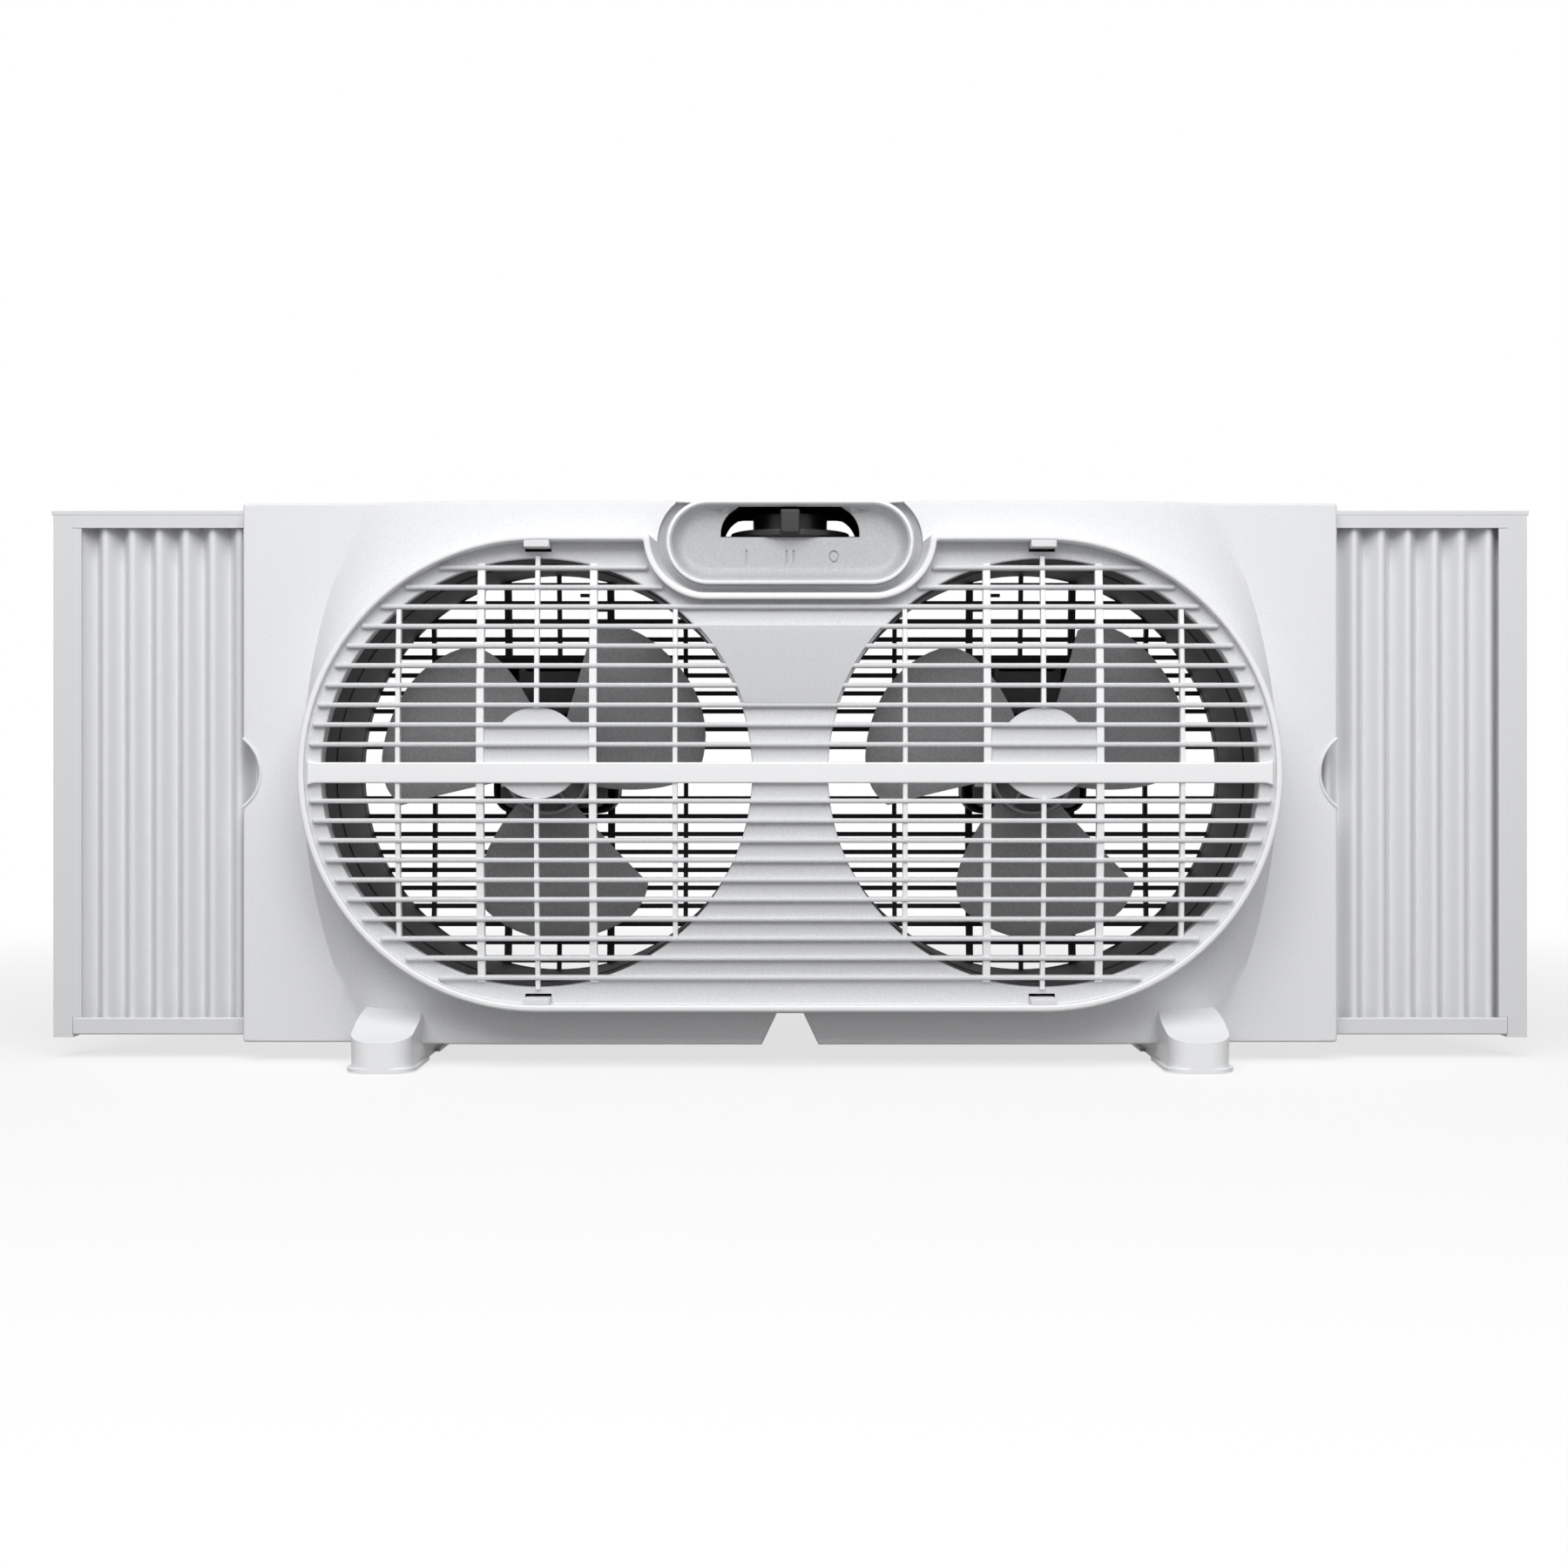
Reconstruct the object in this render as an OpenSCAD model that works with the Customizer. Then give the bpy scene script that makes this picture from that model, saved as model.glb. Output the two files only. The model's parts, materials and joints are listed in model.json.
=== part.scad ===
// Twin reversible window fan with a pull-out pleated screen at each end.
// Millimetres. X runs to the right, Y to the back, Z up. The origin is on the resting
// surface, midway between the two feet. The front and the rear are alike, so that the
// fan can be turned round in the window.

/* [Housing] */
// Distance from the end of a grille to the end of the housing
end_margin = 38.9; // [36:0.1:48]
// Distance from the edge of a grille to the upper and lower edges of the housing
edge_margin = 21; // [20:0.5:26]
// Depth of the housing at its flat ends
edge_depth = 40; // [36:1:46]
// Distance of the raised middle of the housing from the mid-plane
mound_y = 32; // [30:0.5:36]
// Gap between the resting surface and the housing
floor_gap = 10.7; // [8:0.1:14]
// Thickness of the moulded walls
wall = 2.4; // [2:0.1:2.8]
// Width at the bottom of the notch in the housing's lower edge
notch_w = 30.6; // [20:0.2:36]
// Height of that notch
notch_h = 17; // [10:0.5:18]
// Radius of the thumb notch at each end of the housing
thumb_r = 23; // [18:0.5:25]

/* [Grilles] */
// Distance between the two fan axes
fan_spacing = 267.2; // [264:0.4:272]
// Radius of the rounded ends of a grille
grille_r = 126; // [120:0.2:130]
// Width of the rim round a grille
rim_w = 3.6; // [3:0.1:4]
// Distance of the rim's front face from the mid-plane
rim_y = 63; // [62:0.5:68]
// Distance of the bars at the top and bottom of a grille from the mid-plane
crown_edge_y = 55; // [54:0.5:57]
// Height by which the middle of a grille is crowned
crown_h = 9; // [6:0.5:11]
// Thickness of a horizontal bar
bar_t = 2.4; // [1.8:0.1:3]
// Distance between bars
bar_pitch = 10.4; // [9.9:0.05:10.5]
// Height of the band across the middle of a grille
band_h = 11; // [9:0.5:13]
// Width of a light upright rib
rib_w = 2.5; // [2:0.1:3.5]
// Width of a strong upright rib
strong_rib_w = 4; // [3:0.1:5]

/* [Air path] */
// Distance from the edge of a grille to the inside of an air duct
duct_margin = 12.2; // [11.5:0.1:14]
// Thickness of an air duct's wall
duct_t = 2; // [1.4:0.1:2.4]
// Radius of a fan at its blade tips
tip_r = 93; // [86:0.5:104]
// Radius of a fan's hub
hub_r = 23.3; // [21:0.1:25]
// Thickness of a blade
blade_t = 2; // [1.4:0.1:2.6]

/* [Controls] */
// Radius of the rounded ends of the control bezel
bezel_r = 22.85; // [22:0.05:24]
// Distance between the centres of those ends
bezel_span = 88; // [82:1:96]
// Radius of the knob's flange
knob_r = 32.8; // [29:0.1:34]
// Radius of the knob's barrel
barrel_r = 20.5; // [16:0.5:24]

/* [Side screens] */
// Distance that a screen pulls out of the housing
travel = 107; // [80:1:110]
// Width of a screen's outer stile
stile_w = 10.5; // [9:0.5:13]
// Depth of a screen's frame from front to back
frame_depth = 16; // [13:0.5:18]
// Height of a screen's top and bottom rails
rail_h = 9.4; // [8:0.1:10]
// Number of pleats in a screen
pleats = 9; // [6:1:12]
// Thickness of the pleated sheet
sheet_t = 1; // [0.6:0.1:1.4]

/* [Feet] */
// Distance from an end of the housing to the middle of its foot
foot_end_gap = 83.1; // [83:0.1:108]
// Width of a foot
foot_w = 32; // [26:1:38]
// Length of a foot from front to back
foot_len = 140; // [124:1:160]
// Height of a foot where it meets the housing
foot_h = 28; // [22:0.5:34]

/* [Motors] */
// Radius of a motor shaft
shaft_r = 3; // [2.5:0.1:4]
// Depth of a motor's stack of laminations
stack_d = 20; // [16:0.5:22]
// Radius of a rotor
rotor_r = 14.5; // [12:0.5:15]

/* [Fits] */
// Clearance all round a shaft that turns in a bush
running_fit = 0.05; // [0.02:0.01:0.1]
// Clearance between pieces that are pushed together
push_fit = 0.02; // [0.01:0.01:0.05]
// Clearance between moulded pieces
mould_fit = 0.2; // [0.1:0.05:0.3]
// Clearance round the sliding screens
slide_fit = 0.3; // [0.2:0.05:0.5]

/* [Hidden] */

$fn = 96;
// A little extra length for cuts
eps = 1;

white = "#eeeff1";
charcoal = "#3a3a3d";
black = "#232325";

fan_x = fan_spacing / 2;
half_w = fan_x + grille_r + end_margin;
half_h = grille_r + edge_margin;
edge_y = edge_depth / 2;
cz = floor_gap + half_h;
foot_x = half_w - foot_end_gap;

// The raised middle of the housing: its foot is bounded by one wide arc at each end.
mound_arc_r = 330;
mound_end_gap = 32.5;
mound_over = 77;
mound_ledge = 1.6;
mound_half_w = half_w - mound_end_gap;
mound_arc_x = mound_half_w - mound_arc_r;
mound_half_h = half_h + mound_over;
mound_top_r = grille_r + mound_ledge;

// The grille's seat on the housing
upstand_t = 2;
upstand_h = 12;
plate_drop = 3;
plate_t = 2;
hole_step = 0.2;
duct_r = grille_r - duct_margin;
hole_r = duct_r - hole_step;
collar_t = duct_t;
duct_half = crown_edge_y - plate_drop - plate_t;
bar_end_gap = 1.9;
bar_end_r = grille_r - rim_w - bar_end_gap;
bar_depth = 6;
bar_count = 10;
first_bar_gap = 9.4;
first_bar_z = band_h / 2 + first_bar_gap;
band_proud = 0.2;
band_flare = 1.5;
band_flare_len = 4;
strong_rib_x = 29.7;
outer_rib_x = 73;
rib_drop = 1;
rib_depth = 4.5;
rib_bite = 0.8;
disc_over = 1;
disc_r = hub_r + disc_over;
disc_z = bar_pitch;
cover_t = 2.4;
mount_half_w = strong_rib_x + strong_rib_w / 2;
label_drop = 0.5;
label_gap = 1.4;

// The dip in the grille's rim that goes round the control bezel
bezel_over = 0.5;
bezel_z = half_h - bezel_r + bezel_over;
bezel_x = bezel_span / 2;
dip_front_gap = 7;
dip_back_gap = 4.65;
dip_front_r = bezel_r + dip_front_gap;
dip_back_r = bezel_r + dip_back_gap;
bezel_sink = 2;
bezel_proud = 4;
bezel_t = 2;
bezel_rim_w = 4.2;
bezel_tail = 2;
bezel_seat_y = mound_y - bezel_sink;
bezel_rim_y = mound_y + bezel_proud;
bezel_face_y = bezel_seat_y - bezel_t;
bezel_back_y = bezel_face_y - bezel_t;
bezel_well_r = bezel_r - bezel_rim_w;
bezel_tail_r = bezel_r - bezel_tail;

// The see-through slot that the knob stands in
slot_end_gap = 4.85;
slot_h = 16.8;
tunnel_gap = 0.2;
slot_half_w = knob_r + slot_end_gap;
slot_top = half_h - wall - tunnel_gap;
slot_bottom = slot_top - slot_h;
slot_corner_r = 15;
tunnel_t = 1.1;
tunnel_floor_t = 1.6;

// Latches that hold a grille to its housing shell
latch_w = 13.5;
latch_t = 3.5;
latch_gap = 1.9;
latch_out = 0.6;
latch_proud = 4;
latch_notch = 0.8;

// Screws of the housing
screw_r = 1.5;
screw_head_r = 3.1;
screw_head_t = 2;
screw_len = 18;
boss_r = 3.8;
boss_floor_y = 10;
boss_gap = 0.6;
side_boss_in = 12;
side_boss_down = 35;
side_boss_x = mound_half_w - side_boss_in;
side_boss_z = half_h - side_boss_down;
rail_top = half_h - wall - slide_fit;
rail_bottom = rail_top - rail_h;
edge_boss_x = 92;
edge_boss_z = rail_bottom - boss_r - boss_gap;

// Each thumb notch is centred outside the housing's end, with a lip round its edge
thumb_out = 13.4;
thumb_lip_w = 1.3;
thumb_lip_h = 0.5;

// Sides of the notch lean in by this much for each unit of height
notch_slope = 0.476;

// Bush in the lower wall of the rear shell where the power cord comes out
cord_x = 60;
cord_y = 14;
cord_bush_r = 5;
cord_r = 3.3;
cord_flange = 1.6;
cord_barb_h = 3;
cord_barb_out = 1.2;
cord_barb_in = 0.8;

// Side screens
screen_half_y = frame_depth / 2;
stile_proud = 0.5;
rail_gap = 2;
screen_out_x = half_w + stile_proud + travel;
stile_in_x = screen_out_x - stile_w;
rail_in_x = slot_half_w + tunnel_t + rail_gap + travel;
lip_h = 2.3;
lip_over = 1;
lip_side = 0.18;
channel_t = 1.6;
curtain_end_gap = 27.5;
curtain_gap = 6;
curtain_in_x = half_w - curtain_end_gap;
curtain_half_h = rail_top - curtain_gap;
stile_foot_h = 1.4;
stile_foot_in = 0.5;
stile_foot_out = 0.1;
curtain_amp = screen_half_y - channel_t - slide_fit - sheet_t;
pleat_steps = 8;
clamp_t = 3;
clamp_half_h = rail_bottom - 1;
slot_half_y = screen_half_y + slide_fit;

// Feet
foot_round = 12;
foot_top_round = 7;
foot_nose_h = 16.6;
flange_over = 2.3;
flange_t = 1.8;
flange_gap_y = 18;
pad_show = 0.8;
pad_t = 2;
pad_len = 14;
pad_corner_r = 4;
pad_side = 5;
pad_half_w = foot_w / 2 - pad_side;
pad_y = foot_len / 2 - foot_round - pad_len / 2;
foot_web = 4;
foot_screw_head_z = floor_gap - foot_web;
foot_screw_len = 12;
foot_boss_gap = 1;
foot_screw_y = slot_half_y + boss_r + foot_boss_gap;

// Motors. The stack sits behind the hub in a tray on the rear grille, and two long screws
// hold it to posts in that tray.
motor_front_y = 22;
motor_back_y = motor_front_y + stack_d;
rotor_gap = 0.5;
rotor_over = 1;
bore_r = rotor_r + rotor_gap;
stack_half_w = 30;
stack_low_z = -20;
stack_high_z = 52;
stack_round = 8;
limb_low_z = 38;
window_half_w = 21;
window_low_z = 23;
strap_t = 1.6;
strap_half_h = 8;
strap_end = 4.5;
bridge_gap = 8;
bridge_room = 3;
bridge_half_w = rotor_r + bridge_room;
tray_half_w = 35.6;
tray_low_z = -23.4;
tray_high_z = 61;
tray_t = 2;
tray_round = 12;
tray_front_y = 35;
plate_high_z = 67.4;
motor_screw_x = 25;
motor_screw_r = 1.7;
motor_post_r = 3.6;
motor_screw_head_r = 3.2;
motor_screw_head_t = 2.2;
motor_screw_bite = 10;
bush_wall = 2.5;
bush_r = shaft_r + bush_wall;
bush_len = 7;
bush_flange = 1.5;
bush_flange_t = 1.2;
front_bridge_y = motor_front_y - bridge_gap;
rear_bridge_y = motor_back_y + bridge_gap;
coil_half_w = 17.5;
coil_wrap = 5;
bobbin_t = 2.5;
bobbin_over = 1.5;
motor_post_y = crown_edge_y + crown_h - plate_drop - plate_t;
motor_post_bite = 0.4;
motor_hole_end = 2;

// Hooks on the rear grille that hold the wires of a motor
hook_y = crown_edge_y + 2;
hook_t = 3.5;
hook_w = 1.9;
hook_in_x = 12;
hook_turn_x = 18;
hook_low_z = 83.6;
hook_mid_z = 93.4;
hook_high_z = 101.8;

// Fan
hub_front_y = -10;
hub_back_y = 10;
hub_shell_t = 2;
hub_boss_r = 7;
hub_boss_front_y = -9;
hub_rib_count = 6;
hub_rib_t = 1.8;
hub_rib_front_y = -4;
shaft_front_y = -6;
shaft_end_gap = 0.3;
shaft_over = 4;
shaft_back_y = rear_bridge_y + shaft_over;
clip_t = 2;
clip_w = 1.2;
clip_front_y = -8.5;
clip_slit = 4;
blade_count = 3;
blade_r_steps = 12;
blade_a_steps = 9;
lead_angle = 102;
lead_rake = 14;
lead_hook = 1.6;
trail_angle = 190.6;
trail_rake = 1.8;
rake_span = 52.7;
lead_corner = 9;
trail_corner = 11;
blade_root_depth = 16;
blade_tip_depth = 20;
blade_depth_span = 40;
blade_root_in = 1.2;
blade_back_y = 9.2;
blade_camber = 1.6;

// Rotary switch
switch_half_w = 14;
switch_half_d = 12;
switch_h = 21;
switch_bush_r = 4.5;
switch_shaft_r = 3;
terminal_pitch = 8;
terminal_w = 4.8;
terminal_t = 0.8;
terminal_len = 7;
switch_shaft_depth = 12;
switch_shaft_gap = 0.3;
switch_bush_gap = 0.1;
shaft_low_z = slot_bottom - tunnel_floor_t - switch_shaft_depth;
knob_gap = 0.4;
flange_h = 4;
barrel_h = 10;
knob_low_z = slot_bottom + knob_gap;
flange_top_z = knob_low_z + flange_h;
barrel_top_z = flange_top_z + barrel_h;
knob_cap_t = 3;
pointer_half_w = 5.5;
pointer_out = 2.2;
pointer_up = 0.9;
pointer_top = 0.3;
pointer_reach = knob_r + pointer_out;

// ---- Shapes ----

// A flat outline in X and Z, given thickness from y0 back to y1
module prism_y(y0, y1) {
    translate([0, y1, 0])
        rotate([90, 0, 0])
            linear_extrude(y1 - y0)
                children();
}

// A flat outline in Y and Z, drawn out from x0 to x1
module prism_x(x0, x1) {
    translate([x0, 0, 0])
        rotate([90, 0, 90])
            linear_extrude(x1 - x0)
                children();
}

module block(x0, x1, y0, y1, z0, z1) {
    translate([x0, y0, z0])
        cube([x1 - x0, y1 - y0, z1 - z0]);
}

// A round bar along Y
module rod_y(x, z, r, y0, y1) {
    translate([x, y1, z])
        rotate([90, 0, 0])
            cylinder(r = r, h = y1 - y0);
}

module at_centre() {
    translate([0, 0, cz])
        children();
}

module at_fan(side) {
    translate([side * fan_x, 0, cz])
        children();
}

module on_right() {
    at_centre()
        children();
}

module on_left() {
    mirror([1, 0, 0])
        at_centre()
            children();
}

module both_ways() {
    children();
    mirror([1, 0, 0])
        children();
}

module stadium(r, half_span) {
    translate([-half_span, 0])
        circle(r);
    translate([half_span, 0])
        circle(r);
    square([2 * half_span, 2 * r], center = true);
}

module bezel_outline(r) {
    translate([0, bezel_z])
        stadium(r, bezel_x);
}

// The outline of a grille, with the dip that goes round the control bezel
module dipped_stadium(inset, dip) {
    difference() {
        stadium(grille_r - inset, fan_x);
        bezel_outline(dip);
    }
}

module slot_outline(grow) {
    for (side = [-1, 1])
        translate([side * (slot_half_w - slot_corner_r), slot_top - slot_corner_r])
            intersection() {
                circle(slot_corner_r + grow);
                translate([-slot_corner_r - grow, 0])
                    square([2 * (slot_corner_r + grow), slot_corner_r + grow]);
            }
    translate([-slot_half_w + slot_corner_r, slot_bottom])
        square([2 * (slot_half_w - slot_corner_r), slot_top + grow - slot_bottom]);
    translate([-slot_half_w - grow, slot_bottom - (grow > 0 ? tunnel_floor_t : 0)])
        square([2 * (slot_half_w + grow),
                slot_top - slot_corner_r - slot_bottom + (grow > 0 ? tunnel_floor_t : 0)]);
}

// ---- Housing ----

function mound_foot(grow) = [
    for (i = [-10 : 10])
        let (a = i * asin((mound_half_h - grow) / mound_arc_r) / 10)
            [mound_arc_x - grow + mound_arc_r * cos(a), mound_arc_r * sin(a)]
];

function flipped(points) = [for (i = [len(points) - 1 : -1 : 0]) [-points[i][0], points[i][1]]];

// The raised middle of a housing shell; inset moves its whole surface inwards
module mound(inset) {
    side = mound_foot(inset);
    hull() {
        prism_y(-mound_y + inset, -mound_y + inset + 0.01)
            stadium(mound_top_r - inset, fan_x, $fn = 96);
        prism_y(-edge_y + inset, 0)
            polygon(concat(side, flipped(side)));
    }
}

module housing_solid(inset) {
    block(-half_w + inset, half_w - inset, -edge_y + inset, 0, -half_h + inset, half_h - inset);
    intersection() {
        mound(inset);
        block(-half_w, half_w, -2 * mound_y, 0, -half_h + inset, half_h - inset);
    }
}

module side_boss_places() {
    for (side = [-1, 1])
        for (end = [-1, 1])
            translate([side * side_boss_x, 0, end * side_boss_z])
                children();
}

module edge_boss_places() {
    for (side = [-1, 1])
        for (end = [-1, 1])
            translate([side * edge_boss_x, 0, end * edge_boss_z])
                children();
}

module boss_places() {
    side_boss_places()
        children();
    edge_boss_places()
        children();
}

module foot_boss_places() {
    for (side = [-1, 1])
        translate([side * foot_x, -foot_screw_y, 0])
            children();
}

// The notch in the lower edge, or with grow the lining round it
module notch_outline(grow) {
    low_half = notch_w / 2 + grow;
    top_half = low_half - notch_h * notch_slope;
    low_z = -half_h - (grow > 0 ? 0 : eps);
    polygon([
        [-low_half, low_z], [low_half, low_z], [low_half, -half_h],
        [top_half, -half_h + notch_h + grow], [-top_half, -half_h + notch_h + grow],
        [-low_half, -half_h],
    ]);
}

// A latch that comes up through the grille's edge at a fan axis
module latches() {
    for (side = [-1, 1])
        for (end = [-1, 1]) {
            outer_z = grille_r - rim_w + latch_out;
            low = min(end * outer_z, end * (outer_z - latch_t));
            block(side * fan_x - latch_w / 2, side * fan_x + latch_w / 2,
                  -crown_edge_y - latch_proud, -mound_y + wall, low, low + latch_t);
        }
}

// One shell of the housing, seen from the front; the rear one is its mirror image
module housing_shell() {
    difference() {
        union() {
            difference() {
                housing_solid(0);
                housing_solid(wall);
                block(-half_w + wall, half_w - wall, -eps, eps, -half_h + wall, half_h - wall);
            }
            // Seat of the control bezel
            intersection() {
                prism_y(-mound_y + 0.5, -bezel_seat_y + wall)
                    bezel_outline(dip_back_r + wall);
                block(-half_w, half_w, -mound_y, 0, 0, half_h);
            }
            // Wall that the grille's rim drops over
            prism_y(-mound_y - upstand_h, -mound_y + wall)
                dipped_stadium(rim_w + mould_fit, dip_front_r + rim_w + mould_fit);
            // Sleeves for the housing's screws
            side_boss_places()
                rod_y(0, 0, boss_r, -edge_y + wall / 2, 0);
            edge_boss_places()
                rod_y(0, 0, boss_r, -mound_y + wall, 0);
            // Sleeves for the screws of the feet
            foot_boss_places()
                translate([0, 0, -half_h + wall / 2])
                    cylinder(r = boss_r, h = foot_screw_len);
            // Lip round each thumb notch
            intersection() {
                for (side = [-1, 1])
                    rod_y(side * (half_w + thumb_out), 0, thumb_r + thumb_lip_w,
                          -edge_y - thumb_lip_h, -slot_half_y - 1.2);
                block(-half_w, half_w, -2 * edge_y, 0, -half_h, half_h);
            }
            // Walls of the notch in the lower edge
            prism_y(-mound_y + wall, 0)
                notch_outline(wall);
        }
        // Opening for the grille
        prism_y(-2 * mound_y, eps)
            dipped_stadium(rim_w + mould_fit + upstand_t,
                           dip_front_r + rim_w + mould_fit + upstand_t);
        // Recess and opening for the control bezel
        prism_y(-2 * mound_y, -bezel_seat_y)
            bezel_outline(dip_back_r);
        prism_y(-2 * mound_y, -bezel_back_y + eps)
            bezel_outline(bezel_tail_r);
        // Room for the knob tunnel under the top wall
        block(-slot_half_w - tunnel_t - mould_fit, slot_half_w + tunnel_t + mould_fit,
              -bezel_back_y, eps, half_h - wall - eps, slot_top + tunnel_t + tunnel_gap / 2);
        // Slots that the side screens slide in
        for (side = [-1, 1]) {
            end_x = side * (half_w - wall / 2);
            block(end_x - wall, end_x + wall, -slot_half_y, eps, -half_h - eps, half_h - wall);
            block(side * half_w - stile_w - 2, side * half_w + stile_w + 2,
                  -slot_half_y, eps, -half_h - eps, -half_h + wall + eps);
            rod_y(side * (half_w + thumb_out), 0, thumb_r, -2 * edge_y, eps);
        }
        // Screw holes
        boss_places()
            rod_y(0, 0, screw_r + running_fit, -edge_y + 2 * wall, eps);
        foot_boss_places()
            translate([0, 0, -half_h - eps])
                cylinder(r = screw_r + running_fit, h = foot_screw_len);
        prism_y(-2 * mound_y, eps)
            notch_outline(0);
    }
    latches();
}

module front_housing() {
    color(white)
        at_centre()
            housing_shell();
}

module rear_housing() {
    color(charcoal)
        at_centre()
            difference() {
                mirror([0, 1, 0])
                    housing_shell();
                boss_places()
                    rod_y(0, 0, screw_head_r + mould_fit, boss_floor_y, 2 * mound_y);
                // Hole for the cord bush
                translate([cord_x, cord_y, -half_h - eps])
                    cylinder(r = cord_bush_r, h = wall + 2 * eps);
            }
}

module cord_bush() {
    color(black)
        at_centre()
            translate([cord_x, cord_y, -half_h])
                difference() {
                    union() {
                        translate([0, 0, -cord_flange])
                            cylinder(r = cord_bush_r + cord_flange, h = cord_flange);
                        cylinder(r = cord_bush_r - push_fit, h = wall);
                        translate([0, 0, wall])
                            cylinder(r1 = cord_bush_r + cord_barb_out, r2 = cord_bush_r - cord_barb_in,
                                     h = cord_barb_h);
                    }
                    translate([0, 0, -cord_flange - eps])
                        cylinder(r = cord_r, h = cord_flange + wall + cord_barb_h + 2 * eps);
                }
}

module housing_screws() {
    color("silver")
        at_centre()
            boss_places() {
                rod_y(0, 0, screw_head_r, boss_floor_y, boss_floor_y + screw_head_t);
                rod_y(0, 0, screw_r, boss_floor_y - screw_len, boss_floor_y);
            }
}

// ---- Grilles ----

// Distance of the bars' front from the mid-plane at a height z
function crown(z) = crown_edge_y + crown_h * (1 - pow(z / bar_end_r, 2));

function bar_z(i) = first_bar_z + i * bar_pitch;

function chord(r, z) = sqrt(max(0, r * r - z * z));

// Outline in Y and Z between two depths behind the crowned front
function crown_strip(z0, z1, front, back) =
    let (steps = max(2, ceil((z1 - z0) / 12)))
        concat(
            [for (i = [0 : steps])
                let (z = z0 + (z1 - z0) * i / steps) [-crown(z) + front, z]],
            [for (i = [steps : -1 : 0])
                let (z = z0 + (z1 - z0) * i / steps) [-crown(z) + back, z]]
        );

module crowned(x0, x1, z0, z1, front, back) {
    prism_x(x0, x1)
        polygon(crown_strip(z0, z1, front, back));
}

// A bar with round ends, from x0 to x1
module bar(x0, x1, z) {
    prism_y(-crown(z), -crown(z) + bar_depth) {
        translate([x0 + bar_t / 2, z - bar_t / 2])
            square([x1 - x0 - bar_t, bar_t]);
        translate([x0 + bar_t / 2, z])
            circle(bar_t / 2);
        translate([x1 - bar_t / 2, z])
            circle(bar_t / 2);
    }
}

module bars() {
    dip_low_z = bezel_z - dip_front_r - rim_w;
    for (i = [0 : bar_count - 1])
        for (end = [-1, 1]) {
            z = end * bar_z(i);
            reach = fan_x + chord(bar_end_r, z);
            if (z > dip_low_z - bar_t) {
                inner = bezel_x + chord(dip_front_r + rim_w + 1.6, bezel_z - z);
                bar(inner, reach, z);
                bar(-reach, -inner, z);
            } else {
                bar(-reach, reach, z);
            }
        }
}

module band() {
    reach = fan_x + bar_end_r;
    flare = band_flare;
    flare_len = band_flare_len;
    half = band_h / 2;
    prism_y(-crown(0) - band_proud, -crown(0) + bar_depth)
        polygon([
            [-reach, -half - flare], [-reach + flare_len / 2, -half - flare / 2],
            [-reach + flare_len, -half], [reach - flare_len, -half],
            [reach - flare_len / 2, -half - flare / 2], [reach, -half - flare],
            [reach, half + flare], [reach - flare_len / 2, half + flare / 2],
            [reach - flare_len, half], [-reach + flare_len, half],
            [-reach + flare_len / 2, half + flare / 2], [-reach, half + flare],
        ]);
}

module ribs(with_disc) {
    for (side = [-1, 1]) {
        axis_x = side * fan_x;
        for (dx = [-outer_rib_x, outer_rib_x])
            upright(axis_x + dx, rib_w, -chord(hole_r, outer_rib_x), chord(hole_r, outer_rib_x));
        for (dx = [-strong_rib_x, strong_rib_x])
            upright(axis_x + dx, strong_rib_w, -chord(hole_r, strong_rib_x), chord(hole_r, strong_rib_x));
        upright(axis_x, rib_w, with_disc ? disc_z + disc_r - rib_bite : plate_high_z, hole_r);
        upright(axis_x, rib_w, -hole_r, with_disc ? disc_z - disc_r + rib_bite : tray_low_z);
    }
}

module upright(x, width, z0, z1) {
    crowned(x - width / 2, x + width / 2, z0 - rib_bite, z1 + rib_bite, rib_drop, rib_drop + rib_depth);
}

// The flat piece between the two holes where a label would be
module label_plate() {
    low = bar_z(2);
    high = bar_z(6);
    intersection() {
        crowned(-fan_x, fan_x, low, high, label_drop, label_drop + plate_drop);
        prism_y(-2 * rim_y, 0)
            difference() {
                translate([-fan_x, low])
                    square([2 * fan_x, high - low]);
                for (side = [-1, 1])
                    translate([side * fan_x, 0])
                        circle(hole_r + label_gap);
            }
    }
}

// The crowned plate with its two round holes, and a collar behind each hole
module grille_plate() {
    reach = grille_r - rim_w / 2;
    difference() {
        intersection() {
            crowned(-fan_x - grille_r, fan_x + grille_r, -reach, reach,
                    plate_drop, plate_drop + plate_t);
            prism_y(-2 * rim_y, 0)
                dipped_stadium(rim_w / 2, dip_front_r + rim_w / 2);
        }
        for (side = [-1, 1])
            rod_y(side * fan_x, 0, hole_r, -2 * rim_y, 0);
        // Room for the latches
        for (side = [-1, 1])
            for (end = [-1, 1]) {
                outer_z = grille_r - rim_w + latch_notch;
                low = min(end * outer_z, end * (outer_z - latch_t - latch_gap));
                block(side * fan_x - latch_w / 2 - mould_fit, side * fan_x + latch_w / 2 + mould_fit,
                      -2 * rim_y, 0, low, low + latch_t + latch_gap);
            }
    }
    for (side = [-1, 1])
        intersection() {
            difference() {
                rod_y(side * fan_x, 0, hole_r + collar_t, -rim_y, -duct_half);
                rod_y(side * fan_x, 0, hole_r, -rim_y - eps, -duct_half + eps);
            }
            crowned(-2 * fan_x, 2 * fan_x, -grille_r, grille_r, plate_drop + hole_step,
                    crown_h + crown_edge_y);
        }
}

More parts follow.
